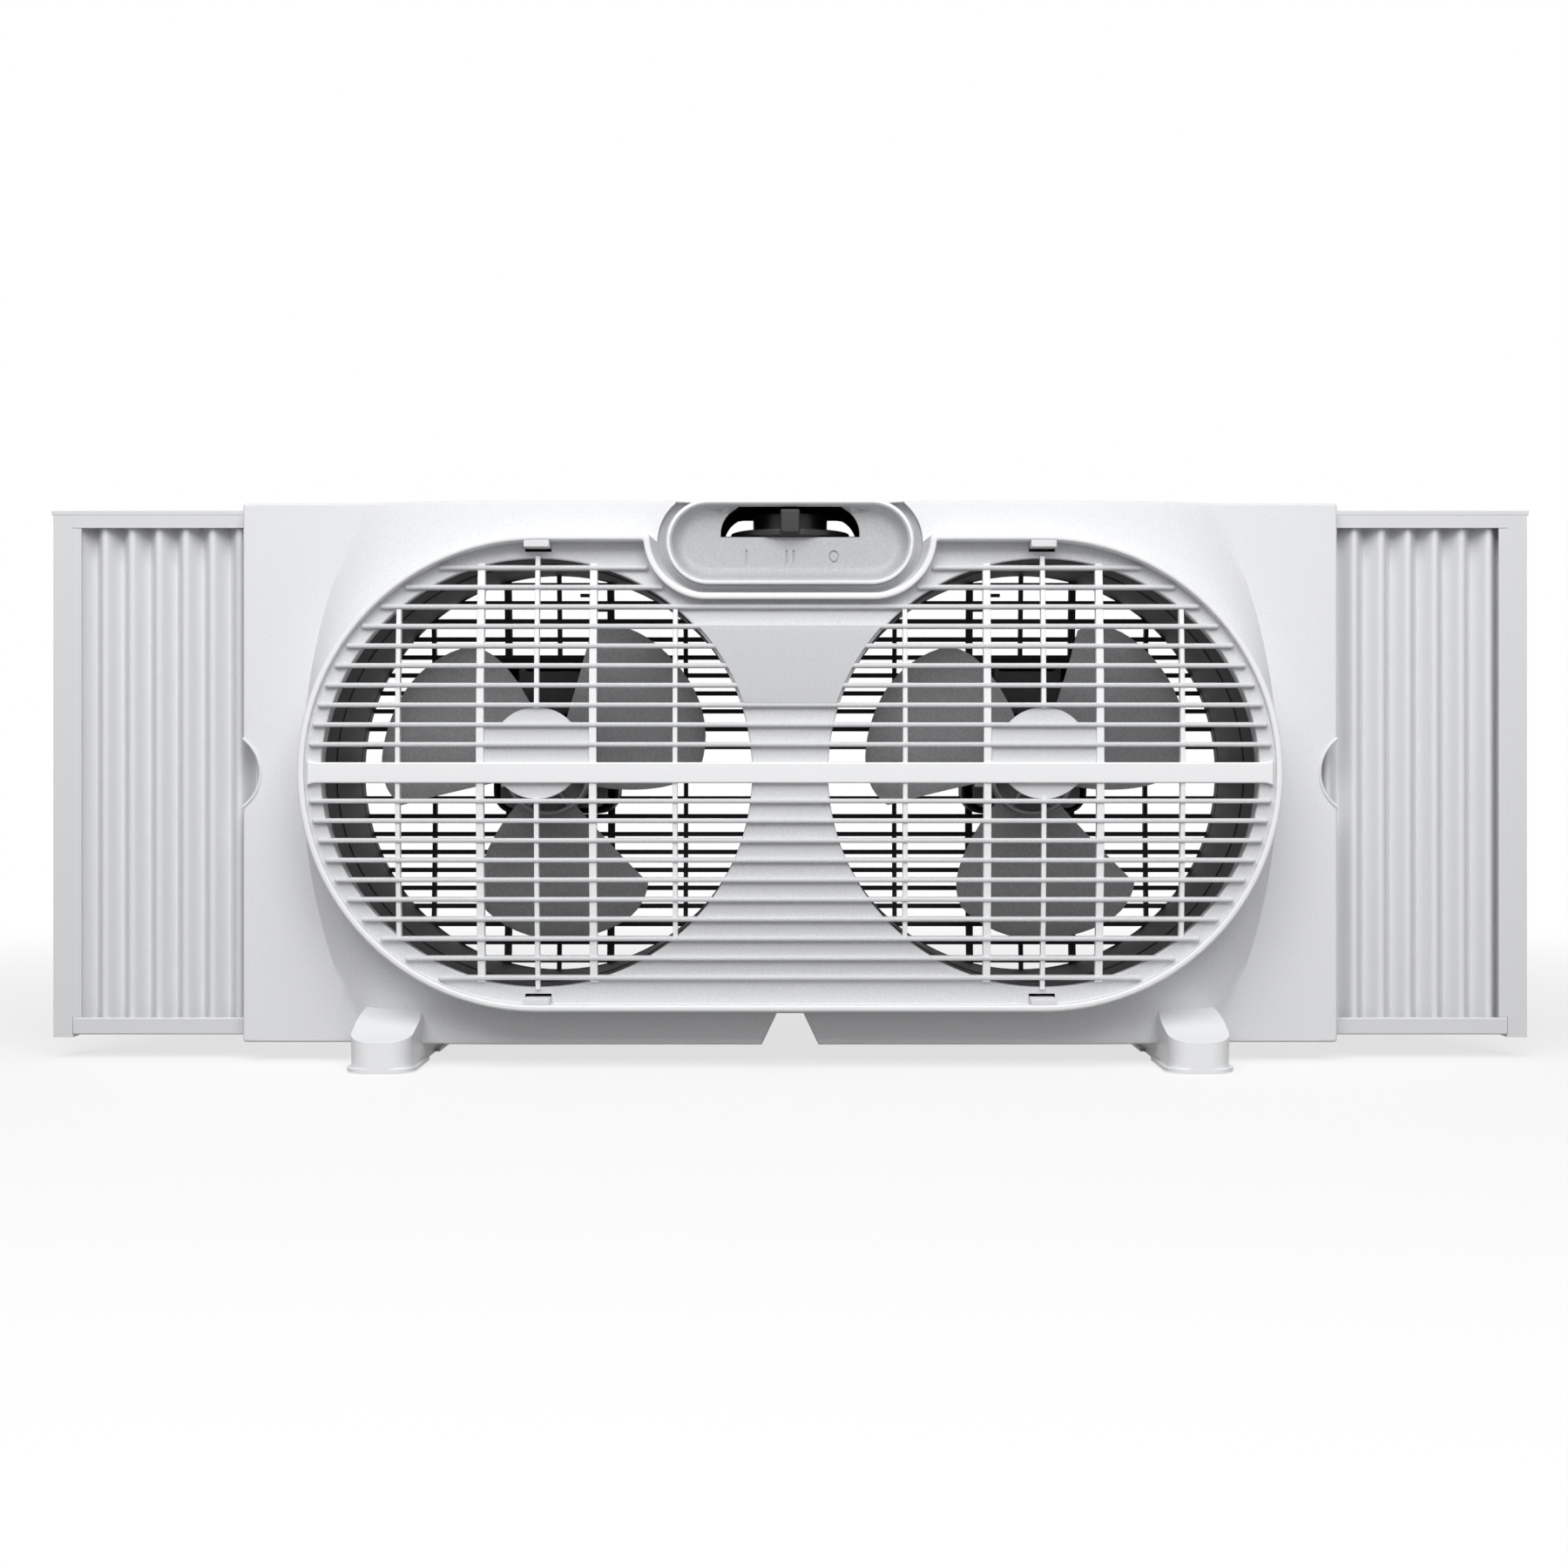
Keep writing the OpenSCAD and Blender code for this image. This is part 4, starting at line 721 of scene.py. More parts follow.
# Lengths over which a surface steps at the slot and at the bezel's dip
SLOT_STEP, DIP_STEP = mm(0.1, 0.2)
CORNER_R, TAIL_R, THUMB_LIP_R = mm(1.5, 20.85, 0.9)
LIP_OUT, LIP_IN, LIP_HEIGHT, LIP_FILLET = mm(3.8, 5.8, 12, 0.8)
LATCH_FRONT, LATCH_ROUND = mm(62.6, 0.5)
# How far the points and creases of the raised middle stay from its bounds
RIM_CLEAR, ARC_CLEAR, END_CLEAR = mm(1.5, 0.4, 2)
LEAST_SINE = 0.01
# More points along the upper and lower edges, and one on the end edges
EDGE_XS = mm(250, 215, 200, 184, 168, 152, 136, 120, 105, 90, 75, 40, 15)
END_EDGE, NOTCH_CLEAR = mm(60, 20)


def mound_arc_x(z):
    """Distance from the middle to the arc that bounds the raised middle, at a height."""
    h = settings().fan_shell
    return h.foot_reach - h.foot_arc + chord(h.foot_arc, z)


def mound_reach(c, s):
    """Length of a ray from a fan's axis to the arc that bounds the raised middle."""
    h = settings().fan_shell
    shift = FAN_X - (h.foot_reach - h.foot_arc)
    return -shift * c + math.sqrt(h.foot_arc ** 2 - (shift * s) ** 2)


def shell_depth(x, z):
    """Depth of a shell's front surface: flat at its ends, raised in the middle, and sunk where
    the control bezel sits."""
    h = settings().fan_shell
    if z > 0 and from_bezel(x, z) < DIP_BACK + DIP_STEP / 2:
        return BEZEL_SEAT
    away, reach = abs(z), MOUND_TOP
    if abs(x) > FAN_X:
        away = math.hypot(abs(x) - FAN_X, z)
        if away <= SEAT_R:
            return h.mound_depth
        c, s = (abs(x) - FAN_X) / away, abs(z) / away
        reach = min(mound_reach(c, s), MOUND_TOP / max(s, LEAST_SINE))
    part = min(1.0, max(0.0, (away - SEAT_R) / (reach - SEAT_R)))
    return h.mound_depth - (h.mound_depth - h.edge_depth) * part ** MOUND_POWER


def thumb_path(steps):
    """The edge of the right thumb notch, upwards."""
    h = settings().fan_shell
    low = math.degrees(math.acos(h.thumb_out / h.thumb_r))
    return arc(HALF_W + h.thumb_out, 0, h.thumb_r, 180 + low, 180 - low, steps)


def shell_outline():
    """The outline of a shell, counterclockwise from its right thumb notch."""
    h = settings().fan_shell
    w, t, r = HALF_W, HALF_H, CORNER_R
    face = t - h.edge_round
    top_xs = [mound_arc_x(face), SLOT_X - SLOT_STEP, SLOT_X + SLOT_STEP, *EDGE_XS]
    top_xs += [BEZEL_X + chord(radius, face - BEZEL_Z)
               for radius in (DIP_BACK, DIP_BACK + DIP_STEP)]
    top_xs.sort(reverse=True)
    right = ([(w, t - END_EDGE), (w, SLOT_TOP - SLOT_STEP / 2), (w, SLOT_TOP + SLOT_STEP / 2)]
             + arc(w - r, t - r, r, 0, 90, 3) + [(x, t) for x in top_xs])
    lower_left = ([(-w, -t + END_EDGE)] + arc(-w + r, -t + r, r, 180, 270, 3)
                  + [(-x, -t) for x in top_xs if x > NOTCH_CLEAR]
                  + [(-h.notch_low, -t), (-h.notch_high, -t + h.notch_h)])
    upper = thumb_path(14) + right
    return upper + mirrored(upper) + lower_left + mirrored(lower_left)


def shell_back(x, z):
    """Depth of a shell's rear edge: the side screens slide in a slot at each end."""
    return settings().fan_shell.slot_half_y if abs(x) > SLOT_X and z < SLOT_TOP else 0.0


def mound_rays():
    """Rays from a fan's axis over the raised middle: cosine, sine and length."""
    angles = [math.radians(step * RAY_ANGLE) for step in range(-RAY_COUNT, RAY_COUNT + 1)]
    return [(math.cos(a), math.sin(a), mound_reach(math.cos(a), math.sin(a))) for a in angles]


def mound_points(limit_z):
    """Points over the raised middle that give it its curve."""
    points = []
    for c, s, reach in mound_rays():
        for j in range(RAY_ROWS):
            away = SEAT_R + (reach - SEAT_R) * (j + RAY_START) / RAY_ROWS
            x, z = FAN_X + away * c, away * s
            if abs(z) < limit_z - RIM_CLEAR and x < mound_arc_x(z) - ARC_CLEAR:
                points += [(x, z), (-x, z)]
    return points


def shell_creases(limit):
    """Lines at which a shell's front bends: the raised middle's bounds and the bezel's dip."""
    ends = [s * reach for _, s, reach in mound_rays()]
    arc_z = [-limit] + [z for z in ends if abs(z) < limit - END_CLEAR] + [limit]
    creases = [[(way * mound_arc_x(z), z) for z in arc_z] for way in MIRRORED]
    for radius in (DIP_BACK, DIP_BACK + DIP_STEP):
        up = math.degrees(math.asin((limit - BEZEL_Z) / radius))
        dips = arc(BEZEL_X, BEZEL_Z, radius, up, -90, 20)
        dips[0] = (BEZEL_X + chord(radius, limit - BEZEL_Z), limit)
        creases.append(dips + mirrored(dips))
    return creases


def shell_form(place, name):
    """A shell: its outside, the lip that the grille sits round, its inside and its latches."""
    h = settings().fan_shell
    form = Form()
    outline = shell_outline()
    limit = HALF_H - h.edge_round
    creases = shell_creases(limit)
    inner = lambda x, z: shell_depth(x, z) - h.wall

    rings = [form.ring(outline, shell_back)]
    for inset, drop in rounding(h.edge_round):
        rings.append(form.ring(offset(outline, inset), lambda x, z: shell_depth(x, z) - drop))
    form.skin(rings)
    outer, opening = [dipped(r, DIP_FRONT + r, LIP_FILLET) for r in (LIP_OUT, LIP_IN)]
    front = h.mound_depth + LIP_HEIGHT
    lip = [form.ring(outer, shell_depth), form.ring(outer, front),
           form.ring(opening, front), form.ring(opening, inner)]
    form.skin(lip)
    tail = stadium(TAIL_R, BEZEL_X, BEZEL_Z)
    tail_front, tail_back = form.ring(tail, shell_depth), form.ring(tail, inner)
    form.bridge(tail_front, tail_back)
    form.fill([rings[-1], lip[0], tail_front], shell_depth, mound_points(limit), creases)

    inside = offset(outline, h.wall)
    inside_back, inside_front = form.ring(inside, shell_back), form.ring(inside, inner)
    form.skin([rings[0], inside_back, inside_front])
    limit = HALF_H - h.wall
    trimmed = [[p for p in crease if abs(p[1]) < limit - MM] for crease in creases[:2]]
    form.fill([inside_front, lip[-1], tail_back], inner, mound_points(limit), trimmed)

    for way in MIRRORED:
        for end in MIRRORED:
            low, high = sorted((end * LATCH_LOW, end * LATCH_HIGH))
            form.block((way * FAN_X - LATCH_HALF_W, h.mound_depth - h.wall, low),
                       (way * FAN_X + LATCH_HALF_W, LATCH_FRONT, high), LATCH_ROUND)
        form.tube([(way * x, h.edge_depth, z) for x, z in thumb_path(16)], THUMB_LIP_R)
    return form.mesh(name, place)


# ---- Grilles ----

RIM_OUT_R, RIM_IN_R, RIM_FILLET, PLATE_FILLET = mm(1.5, 1.0, 2.4, 1.2)
RIM_SHOULDER, RIM_STEP, COLLAR_BACK, COLLAR_W = mm(45, 50, 50.2, 2)
# (inset, drop) pairs of the plate's edge round a hole
HOLE_EDGE = (mm(0, 0), mm(0.3, 0.05), mm(0.7, 0.3), mm(1, 1))
# The plate's holes for the shell's latches: play at each end, and from and to in height
CATCH_PLAY, CATCH_LOW, CATCH_HIGH = mm(0.25, 117.2, 122.3)
GRID_X, GRID_Z, GRID_CLEAR, GRID_EDGE = mm(12, 10.5, 5, 6)
FLARE_W, FLARE_H, FLARE_STEPS = *mm(5, 1.5), 6
BAND_PROUD, BAND_ROUND = mm(0.2, 0.9)
MIDDLE_EDGE, MIDDLE_SIDE, MIDDLE_PROUD, MIDDLE_SUNK, MIDDLE_ROUND = mm(0.6, 1.4, 0.1, 0.4, 0.5)
MIDDLE_ROWS = 10
COVER_R, COVER_T, COVER_CLEAR = mm(24.3, 2.4, 23.5)
# (inset, drop) pairs of a hub cover's edge
COVER_EDGE = (mm(0, 0.6), mm(0.2, 0.15), mm(0.6, 0))
PANEL_LAP, PANEL_PROUD, PANEL_ROUND = mm(1, 0.02, 0.4)
TRAY_HALF_W, TRAY_LOW, TRAY_HIGH, TRAY_R, TRAY_WALL = mm(35.6, -23.4, 61, 12, 2)
TRAY_FRONT, TRAY_SHOULDER, TRAY_ROUND, SHEET_HIGH = mm(35, 35.4, 0.5, 67.4)
SHEET_GRID = [mm(x, z) for z in range(-10, 66, 10) for x in (-20, 0, 20)]
# Half of a post's section: (radius, depth) pairs
POST = [mm(*p) for p in ((3.6, 59.4), (3.6, 44.2), (3.1, 43.7), (1.8, 43.7), (1.8, 59.4))]
POST_X = 25 * MM
# Hooks for the wires: x towards the middle, from and to, and z from and to
HOOKS = (mm(18, 28.5, 93.4, 95.3), mm(18, 19.9, 93.4, 103.7), mm(12, 19.9, 101.8, 103.7),
         mm(12, 28.5, 83.6, 85.5))
HOOK_LOW, HOOK_HIGH, HOOK_ROUND = mm(53.5, 57, 0.3)
SLAT_HALF, SLAT_ROUND, BAR_DIP_GAP = mm(0.5, 0.95, 1.6)
RIB_DEPTH, RIB_SUNK, RIB_IN, RIB_STEP, RIB_ROUND, STRONG_ROUND = mm(4.5, 3.25, 0.8, 9, 0.35, 0.4)
TRAY_RIB_HIGH, TRAY_RIB_LOW = mm(67, -23)


def plate_front(x, z):
    """Depth of the front of the plate behind the bars."""
    return crown(z) - settings().fan_grille.plate_drop


def plate_back(x, z):
    """Depth of that plate's back."""
    return plate_front(x, z) - settings().fan_grille.plate_t


def grille_rim(form):
    """The rim, from its outer foot over its rounded face to its inner foot."""
    g = settings().fan_grille
    levels = [(0.0, g.back_depth), (0.0, RIM_SHOULDER)]
    levels += [(i, g.face_depth - d) for i, d in rounding(RIM_OUT_R)]
    levels += [(g.rim_w - i, g.face_depth - d) for i, d in reversed(rounding(RIM_IN_R))]
    levels += [(g.rim_w, RIM_STEP), (g.rim_w, g.back_depth)]
    rings = [form.ring(dipped(inset, dip_at(depth) + inset, RIM_FILLET - inset * 0.3), depth)
             for inset, depth in levels]
    form.skin(rings, looped=True)


def grille_plate(form):
    """The crowned plate with its two round holes, each with a collar behind it."""
    g = settings().fan_grille
    inset = g.rim_w / 2
    outline = dipped(inset, DIP_FRONT + inset, PLATE_FILLET)
    fronts, backs = [form.ring(outline, plate_front)], [form.ring(outline, plate_back)]
    form.bridge(fronts[0], backs[0])
    for way in MIRRORED:
        circle = lambda r: arc(way * FAN_X, 0, r, 0, 360, 128)[:-1]
        rings = [form.ring(circle(g.hole_r + HOLE_EDGE[-1][0] - i),
                           lambda x, z: plate_front(x, z) - d) for i, d in HOLE_EDGE]
        rings += [form.ring(circle(g.hole_r), COLLAR_BACK),
                  form.ring(circle(g.hole_r + COLLAR_W), COLLAR_BACK),
                  form.ring(circle(g.hole_r + COLLAR_W), plate_back)]
        form.skin(rings)
        fronts.append(rings[0])
        backs.append(rings[-1])
        for end in MIRRORED:
            low, high = sorted((end * CATCH_LOW, end * CATCH_HIGH))
            x0, x1 = [way * FAN_X + side * (LATCH_HALF_W + CATCH_PLAY) for side in MIRRORED]
            catch = [(x0, low), (x1, low), (x1, high), (x0, high)]
            fronts.append(form.ring(catch, plate_front))
            backs.append(form.ring(catch, plate_back))
            form.bridge(fronts[-1], backs[-1])
    grid = []
    for i in range(-20, 21):
        for k in range(-11, 12):
            x, z = i * GRID_X, k * GRID_Z
            clear = math.hypot(abs(x) - FAN_X, z) > g.hole_r + GRID_CLEAR
            inside = math.hypot(max(0.0, abs(x) - FAN_X), z) <= GRILLE_R - GRID_EDGE
            if clear and inside and (z <= 0 or from_bezel(x, z) >= DIP_FRONT + GRID_CLEAR):
                grid.append((x, z))
    form.fill(fronts, plate_front, grid)
    form.fill(backs, plate_back, grid)


def grille_band(form):
    """The band across the middle, which flares at its ends."""
    g = settings().fan_grille
    reach = FAN_X + GRILLE_R - g.rim_w - BAR_END_GAP
    flare = []
    for part in [i / FLARE_STEPS for i in range(FLARE_STEPS + 1)]:
        flare.append((reach - FLARE_W * (1 - part), g.band_h / 2 + FLARE_H * part ** 2))
    right = [(x, -z) for x, z in flare] + flare[::-1]
    left = mirrored(right)
    outline = right + between(right[-1], left[0], 12) + left + between(left[-1], right[0], 12)
    form.plate(outline, crown(0) - g.bar_depth, crown(0) + BAND_PROUD, BAND_ROUND)


def middle_plate(form):
    """The flat piece between the two holes."""
    g = settings().fan_grille
    low, high = bar_z(2) + MIDDLE_EDGE, bar_z(6) - MIDDLE_EDGE
    rows = [low + (high - low) * i / MIDDLE_ROWS for i in range(MIDDLE_ROWS + 1)]
    right = [(FAN_X - chord(g.hole_r + MIDDLE_SIDE, z), z) for z in rows]
    outline = right + mirrored(right)
    front = lambda x, z: crown(z) + MIDDLE_PROUD
    back = lambda x, z: plate_front(x, z) - MIDDLE_SUNK
    rings = [form.ring(outline, back)]
    for inset, drop in rounding(MIDDLE_ROUND, 2):
        rings.append(form.ring(offset(outline, inset), lambda x, z: front(x, z) - drop))
    form.skin(rings)
    form.fill([rings[-1]], front)
    form.fill([rings[0]], back)


def hub_covers(form):
    """Front grille only: a round cover before each hub, and the panel above it."""
    g = settings().fan_grille
    top = plate_front(0, 0)
    low = top - COVER_T
    profile = [(AXIS_R, low), (COVER_R, low), *[(COVER_R - i, top - d) for i, d in COVER_EDGE],
               (AXIS_R, top)]
    half = STRONG_RIB_X + g.strong_rib_w / 2
    for way in MIRRORED:
        form.lathe(profile, (way * FAN_X, 0, g.bar_pitch), 72)
        form.block((way * FAN_X - half, low, g.band_h / 2 - PANEL_LAP),
                   (way * FAN_X + half, top + PANEL_PROUD, bar_z(1)), PANEL_ROUND)


def tray_outline(way, inset, top):
    """Outline of a motor tray up to a height, moved inwards by an inset."""
    half, c = TRAY_HALF_W - inset, TRAY_R - inset
    right = arc(half - c, TRAY_LOW + inset + c, c, -90, 0, 8) + [(half, top - inset)]
    return [(way * FAN_X + x, z) for x, z in right + mirrored(right)]


def motor_trays(form):
    """Rear grille only: a tray and two posts behind each hub, and hooks for the wires."""
    g = settings().fan_grille
    floor = lambda x, z: plate_front(x, z) - g.plate_t / 2
    for way in MIRRORED:
        outer, inner = [tray_outline(way, inset, TRAY_HIGH) for inset in (0, TRAY_WALL)]
        rings = [form.ring(outer, floor), form.ring(outer, TRAY_SHOULDER),
                 form.ring(offset(outer, TRAY_ROUND), TRAY_FRONT),
                 form.ring(offset(inner, -TRAY_ROUND), TRAY_FRONT),
                 form.ring(inner, TRAY_SHOULDER), form.ring(inner, floor)]
        form.skin(rings, looped=True)
        sheet = tray_outline(way, 0, SHEET_HIGH)
        rows = [(way * FAN_X + x, z) for x, z in SHEET_GRID]
        front, back = form.ring(sheet, plate_front), form.ring(sheet, plate_back)
        form.bridge(front, back)
        form.fill([front], plate_front, rows)
        form.fill([back], plate_back, rows)
        for side in MIRRORED:
            form.lathe(POST, (way * FAN_X + side * POST_X, 0, 0), 24, closed=True)
        for x0, x1, z0, z1 in HOOKS:
            low, high = sorted((way * FAN_X - way * x0, way * FAN_X - way * x1))
            form.block((low, HOOK_LOW, z0), (high, HOOK_HIGH, z1), HOOK_ROUND)


def bar_points():
    """One vertex for each bar, at its middle, with half its length as an attribute."""
    g = settings().fan_grille
    dip_low = BEZEL_Z - DIP_FRONT - g.rim_w
    bars = []
    for row in range(g.bar_rows):
        for z in (-bar_z(row), bar_z(row)):
            reach = FAN_X + chord(GRILLE_R - g.rim_w - BAR_END_GAP, z)
            if z > dip_low - g.bar_t:
                near = BEZEL_X + chord(DIP_FRONT + g.rim_w + BAR_DIP_GAP, BEZEL_Z - z)
                bars += [(way * (reach + near) / 2, z, (reach - near) / 2) for way in MIRRORED]
            else:
                bars.append((0.0, z, reach))
    data = bpy.data.meshes.new("bar_points")
    data.from_pydata([(x, crown(z), z) for x, z, _ in bars], [], [])
    lengths = data.attributes.new("half_length", "FLOAT", "POINT")
    lengths.data.foreach_set("value", [half - g.bar_t / 2 - SLAT_HALF for _, _, half in bars])
    return data


def slat():
    """A short bar with round ends and a rounded front, its front at depth 0."""
    g = settings().fan_grille
    form = Form()
    form.plate(stadium(g.bar_t / 2, SLAT_HALF, steps=8, flat=2), -g.bar_depth, 0.0, SLAT_ROUND)
    return form.mesh("slat", HERE)


def rib_lines(offsets, covers):
    """Upright lines that the ribs follow, through the middle of their section."""
    g = settings().fan_grille
    # The ribs on the fans' axes stop at the hub covers or at the motor trays.
    gap = ((g.bar_pitch - COVER_CLEAR, g.bar_pitch + COVER_CLEAR) if covers
           else (TRAY_RIB_LOW, TRAY_RIB_HIGH))
    points, edges = [], []
    for way in MIRRORED:
        for dx in offsets:
            reach = chord(g.hole_r, dx) + RIB_IN
            for low, high in ((gap[1], reach), (-reach, gap[0])) if dx == 0 else ((-reach, reach),):
                steps = max(3, round((high - low) / RIB_STEP))
                edges += [(len(points) + i, len(points) + i + 1) for i in range(steps)]
                for i in range(steps + 1):
                    z = low + (high - low) * i / steps
                    points.append((way * FAN_X + dx, crown(z) - RIB_SUNK, z))
    data = bpy.data.meshes.new("rib_lines")
    data.from_pydata(points, edges, [])
    return data


def make_grille(name, place, finishes, covers):
    """A grille. Its finishes are those of the rim and bars, the plate, and the middle plate. On
    the front grille the darker colours of both plates are painted shade.
    """
    g = settings().fan_grille
    form = Form()
    # Middle plate: its darker finish is painted shade.
    form.paint(2)
    middle_plate(form)
    # Plate and hub covers: the darker plate finish paints the shade behind the bars.
    form.paint(1)
    grille_plate(form)
    (hub_covers if covers else motor_trays)(form)
    form.paint(0)
    grille_rim(form)
    grille_band(form)
    material = FINISHES[finishes[0]]
    template = bpy.data.objects.new("slat", slat())
    bpy.context.scene.collection.objects.link(template)
    parts = [grown(bars_tree(), bar_points(), {"Slat": template, "Material": material})]
    bpy.data.objects.remove(template)
    sweep = ribs_tree()
    for offsets, width, radius in (((-OUTER_RIB_X, OUTER_RIB_X, 0), g.rib_w, RIB_ROUND),
                                   ((-STRONG_RIB_X, STRONG_RIB_X), g.strong_rib_w, STRONG_ROUND)):
        parts.append(grown(sweep, rib_lines(offsets, covers), {
            "Width": width, "Depth": RIB_DEPTH, "Rounding": radius, "Material": material}))
    whole = joined(form.mesh(name, place), *[tidied(data, place) for data in parts])
    piece(name + "_dressed", whole, "housing", finishes, [name])


# ---- Controls ----

BEZEL_FRONT, BEZEL_FLOOR, BEZEL_BACK, BEZEL_WALL, BEZEL_ROUND = mm(36, 28, 26, 2.2, 1.8)
# (inset, depth) pairs from the bezel's rim down to the edge of its dished floor
COVE = (mm(2.5, 36), mm(3, 35.7), mm(3.5, 34.9), mm(4, 33.6))
DISH_W, DISH_POWER, DISH_FLAT, DISH_CLEAR = 6 * MM, 2.4, 0.999, 4.6 * MM
# Radii of the rows of points on the dished floor
DISH_RADII = mm(17.9, 17, 16, 14.8, 13.6, 12.4)
SLOT_HALF_W, SLOT_LOW, SLOT_HIGH, SLOT_R, SLOT_BEVEL = mm(37.65, 127.6, 144.4, 15, 0.4)
SLOT_CLEAR, SLOT_MARGIN = mm(2, 0.8)
MARK_LOW, MARK_HIGH, MARK_HALF_W, MARK_DEPTH = mm(113.8, 120.5, 0.6, 0.8)
STROKE_XS, RING_X, RING_W, RING_H, RING_T = mm(-23.7, -1.9, 1.9), *mm(23.7, 2.8, 3.4, 1)
TUNNEL_BEVEL = 0.2 * MM
KNOB_R, BARREL_R, SHAFT_R, RIM_H, KNOB_ROUND = mm(32.8, 20.5, 3.1, 4, 0.8)
CAP_DROP, CAP_T, GRIP_HALF_W, GRIP_BACK, GRIP_LOW, GRIP_ROUND = mm(0.3, 3, 5.4, 8, 1.2, 1.1)


def dish(x, z):
    """Depth of a bezel's floor: dished at its edge, and flat round the slot."""
    away = from_bezel(x, z)
    part = min(1.0, max(0.0, (BEZEL_R - COVE[-1][0] - away) / DISH_W))
    by_slot = z > SLOT_LOW - SLOT_CLEAR and abs(x) < SLOT_HALF_W + SLOT_CLEAR and z > BEZEL_Z
    if by_slot and away < BEZEL_R - DISH_CLEAR:
        part = max(part, DISH_FLAT)
    return BEZEL_FLOOR + (COVE[-1][1] - BEZEL_FLOOR) * (1 - part) ** DISH_POWER


def slot_outline():
    """The knob's slot in a bezel: square below, round above."""
    right = [(SLOT_HALF_W, SLOT_LOW)]
    right += arc(SLOT_HALF_W - SLOT_R, SLOT_HIGH - SLOT_R, SLOT_R, 0, 90, 10)
    return right + mirrored(right) + between((-SLOT_HALF_W, SLOT_LOW), (SLOT_HALF_W, SLOT_LOW), 12)


def cut_bezel(name, place, finishes):
    """A bezel: rim with a cove, floor with the knob's slot, and dial marks sunk in the floor.
    Its finishes are those of the rim, the grained faces and the slot. On the front bezel the
    grained faces' darker colour also covers the outer wall, as painted shade."""
    form = Form()
    levels = [(BEZEL_WALL, BEZEL_BACK), (BEZEL_WALL, BEZEL_SEAT), (0.0, BEZEL_SEAT)]
    levels += [(i, BEZEL_FRONT - d) for i, d in rounding(BEZEL_ROUND, 4)]
    rim = len(levels)
    levels += COVE
    rings = [form.ring(stadium(BEZEL_R - i, BEZEL_X, BEZEL_Z, steps=32), depth)
             for i, depth in levels]
    # Finish 1 on the outer wall is painted shade: the well's darker colour where the wall is in
    # shade.
    for finish, part in ((1, rings[:4]), (0, rings[3:rim]), (1, rings[rim - 1:])):
        form.paint(finish)
        form.skin(part)
    form.paint(2)
    slot = slot_outline()
    slot_front = form.ring(slot, dish)
    slot_edge = form.ring(offset(slot, SLOT_BEVEL), lambda x, z: dish(x, z) - SLOT_BEVEL)
    slot_back = form.ring(offset(slot, SLOT_BEVEL), BEZEL_BACK)
    form.skin([slot_front, slot_edge, slot_back])
    form.paint(1)
    inner = []
    for radius in DISH_RADII:
        inner += [(x, z) for x, z in stadium(radius, BEZEL_X, BEZEL_Z, steps=24, flat=16)
                  if z <= SLOT_LOW - SLOT_MARGIN or abs(x) >= SLOT_HALF_W + SLOT_MARGIN]
    tops, sunk = [], []
    for mark in dial_marks():
        tops.append(form.ring(mark, dish))
        sunk.append(form.ring(mark, lambda x, z: dish(x, z) - MARK_DEPTH))
        form.bridge(tops[-1], sunk[-1])
    form.fill([rings[-1], slot_front, *tops], dish, inner)
    # The last two marks bound the ring, which keeps an island of floor in its middle.
    for bounds in (*[[stroke] for stroke in sunk[:3]], sunk[3:], tops[4:]):
        form.fill(bounds, dish)
    form.fill([rings[0], slot_back], lambda x, z: BEZEL_BACK)
    piece(name + "_dressed", form.mesh(name, place), "housing", finishes, [name])


def dial_marks():
    """Outlines of the switch's marks: one stroke, two strokes, and a ring's two edges."""
    marks = [[(x + dx, z) for dx, z in ((-MARK_HALF_W, MARK_LOW), (MARK_HALF_W, MARK_LOW),
                                        (MARK_HALF_W, MARK_HIGH), (-MARK_HALF_W, MARK_HIGH))]
             for x in STROKE_XS]
    for shrink in (0.0, RING_T):
        marks.append([(RING_X + (RING_W - shrink) * u, (MARK_LOW + MARK_HIGH) / 2
                       + (RING_H - shrink) * v) for u, v in arc(0, 0, 1, 0, 360, 28)[:-1]])
    return marks


def make_knob():
    """The thumb-wheel: a flat rim, a barrel on it, and a grip in front."""
    form = Form()
    low, high = KNOB_LO.z, KNOB_HI.z
    cap, r = high - CAP_DROP - low, KNOB_ROUND
    profile = [(SHAFT_R, 0.0), (KNOB_R - r, 0.0), (KNOB_R, r), (KNOB_R, RIM_H - r)]
    profile += [(KNOB_R - i, RIM_H - d) for i, d in rounding(r)[1:]]
    profile += [(BARREL_R + d, RIM_H + i) for i, d in rounding(r)]
    profile += [(BARREL_R - i, cap - d) for i, d in rounding(r)]
    profile += [(AXIS_R, cap), (AXIS_R, cap - CAP_T), (SHAFT_R, cap - CAP_T)]
    form.lathe(profile, (0, 0, low), 96, axis="z", closed=True)
    form.block((-GRIP_HALF_W, KNOB_LO.y, low + GRIP_LOW), (GRIP_HALF_W, -GRIP_BACK, high),
               GRIP_ROUND, 3)
    piece("control_knob_dressed", form.mesh("control_knob", HERE), "knob", ["black_plastic"],
          ["control_knob"])


# ---- Fans and ducts ----

BLADES, HUB_RIBS, HUB_STEPS, DUCT_STEPS = 3, 6, 84, 144
BLADE_ROOT_IN, BLADE_BACK, RAKE_SPAN, DEPTH_SPAN, BLADE_ROUND = mm(1.2, 9.2, 52.7, 40, 0.5)
# How sharply the blade's two corners and its hook near the tip turn
LEAD_POWER, TRAIL_POWER, HOOK_POWER = 10, 8, 8
BLADE_ROWS, BLADE_COLUMNS, COLUMN_SPREAD = 26, 22, 0.35
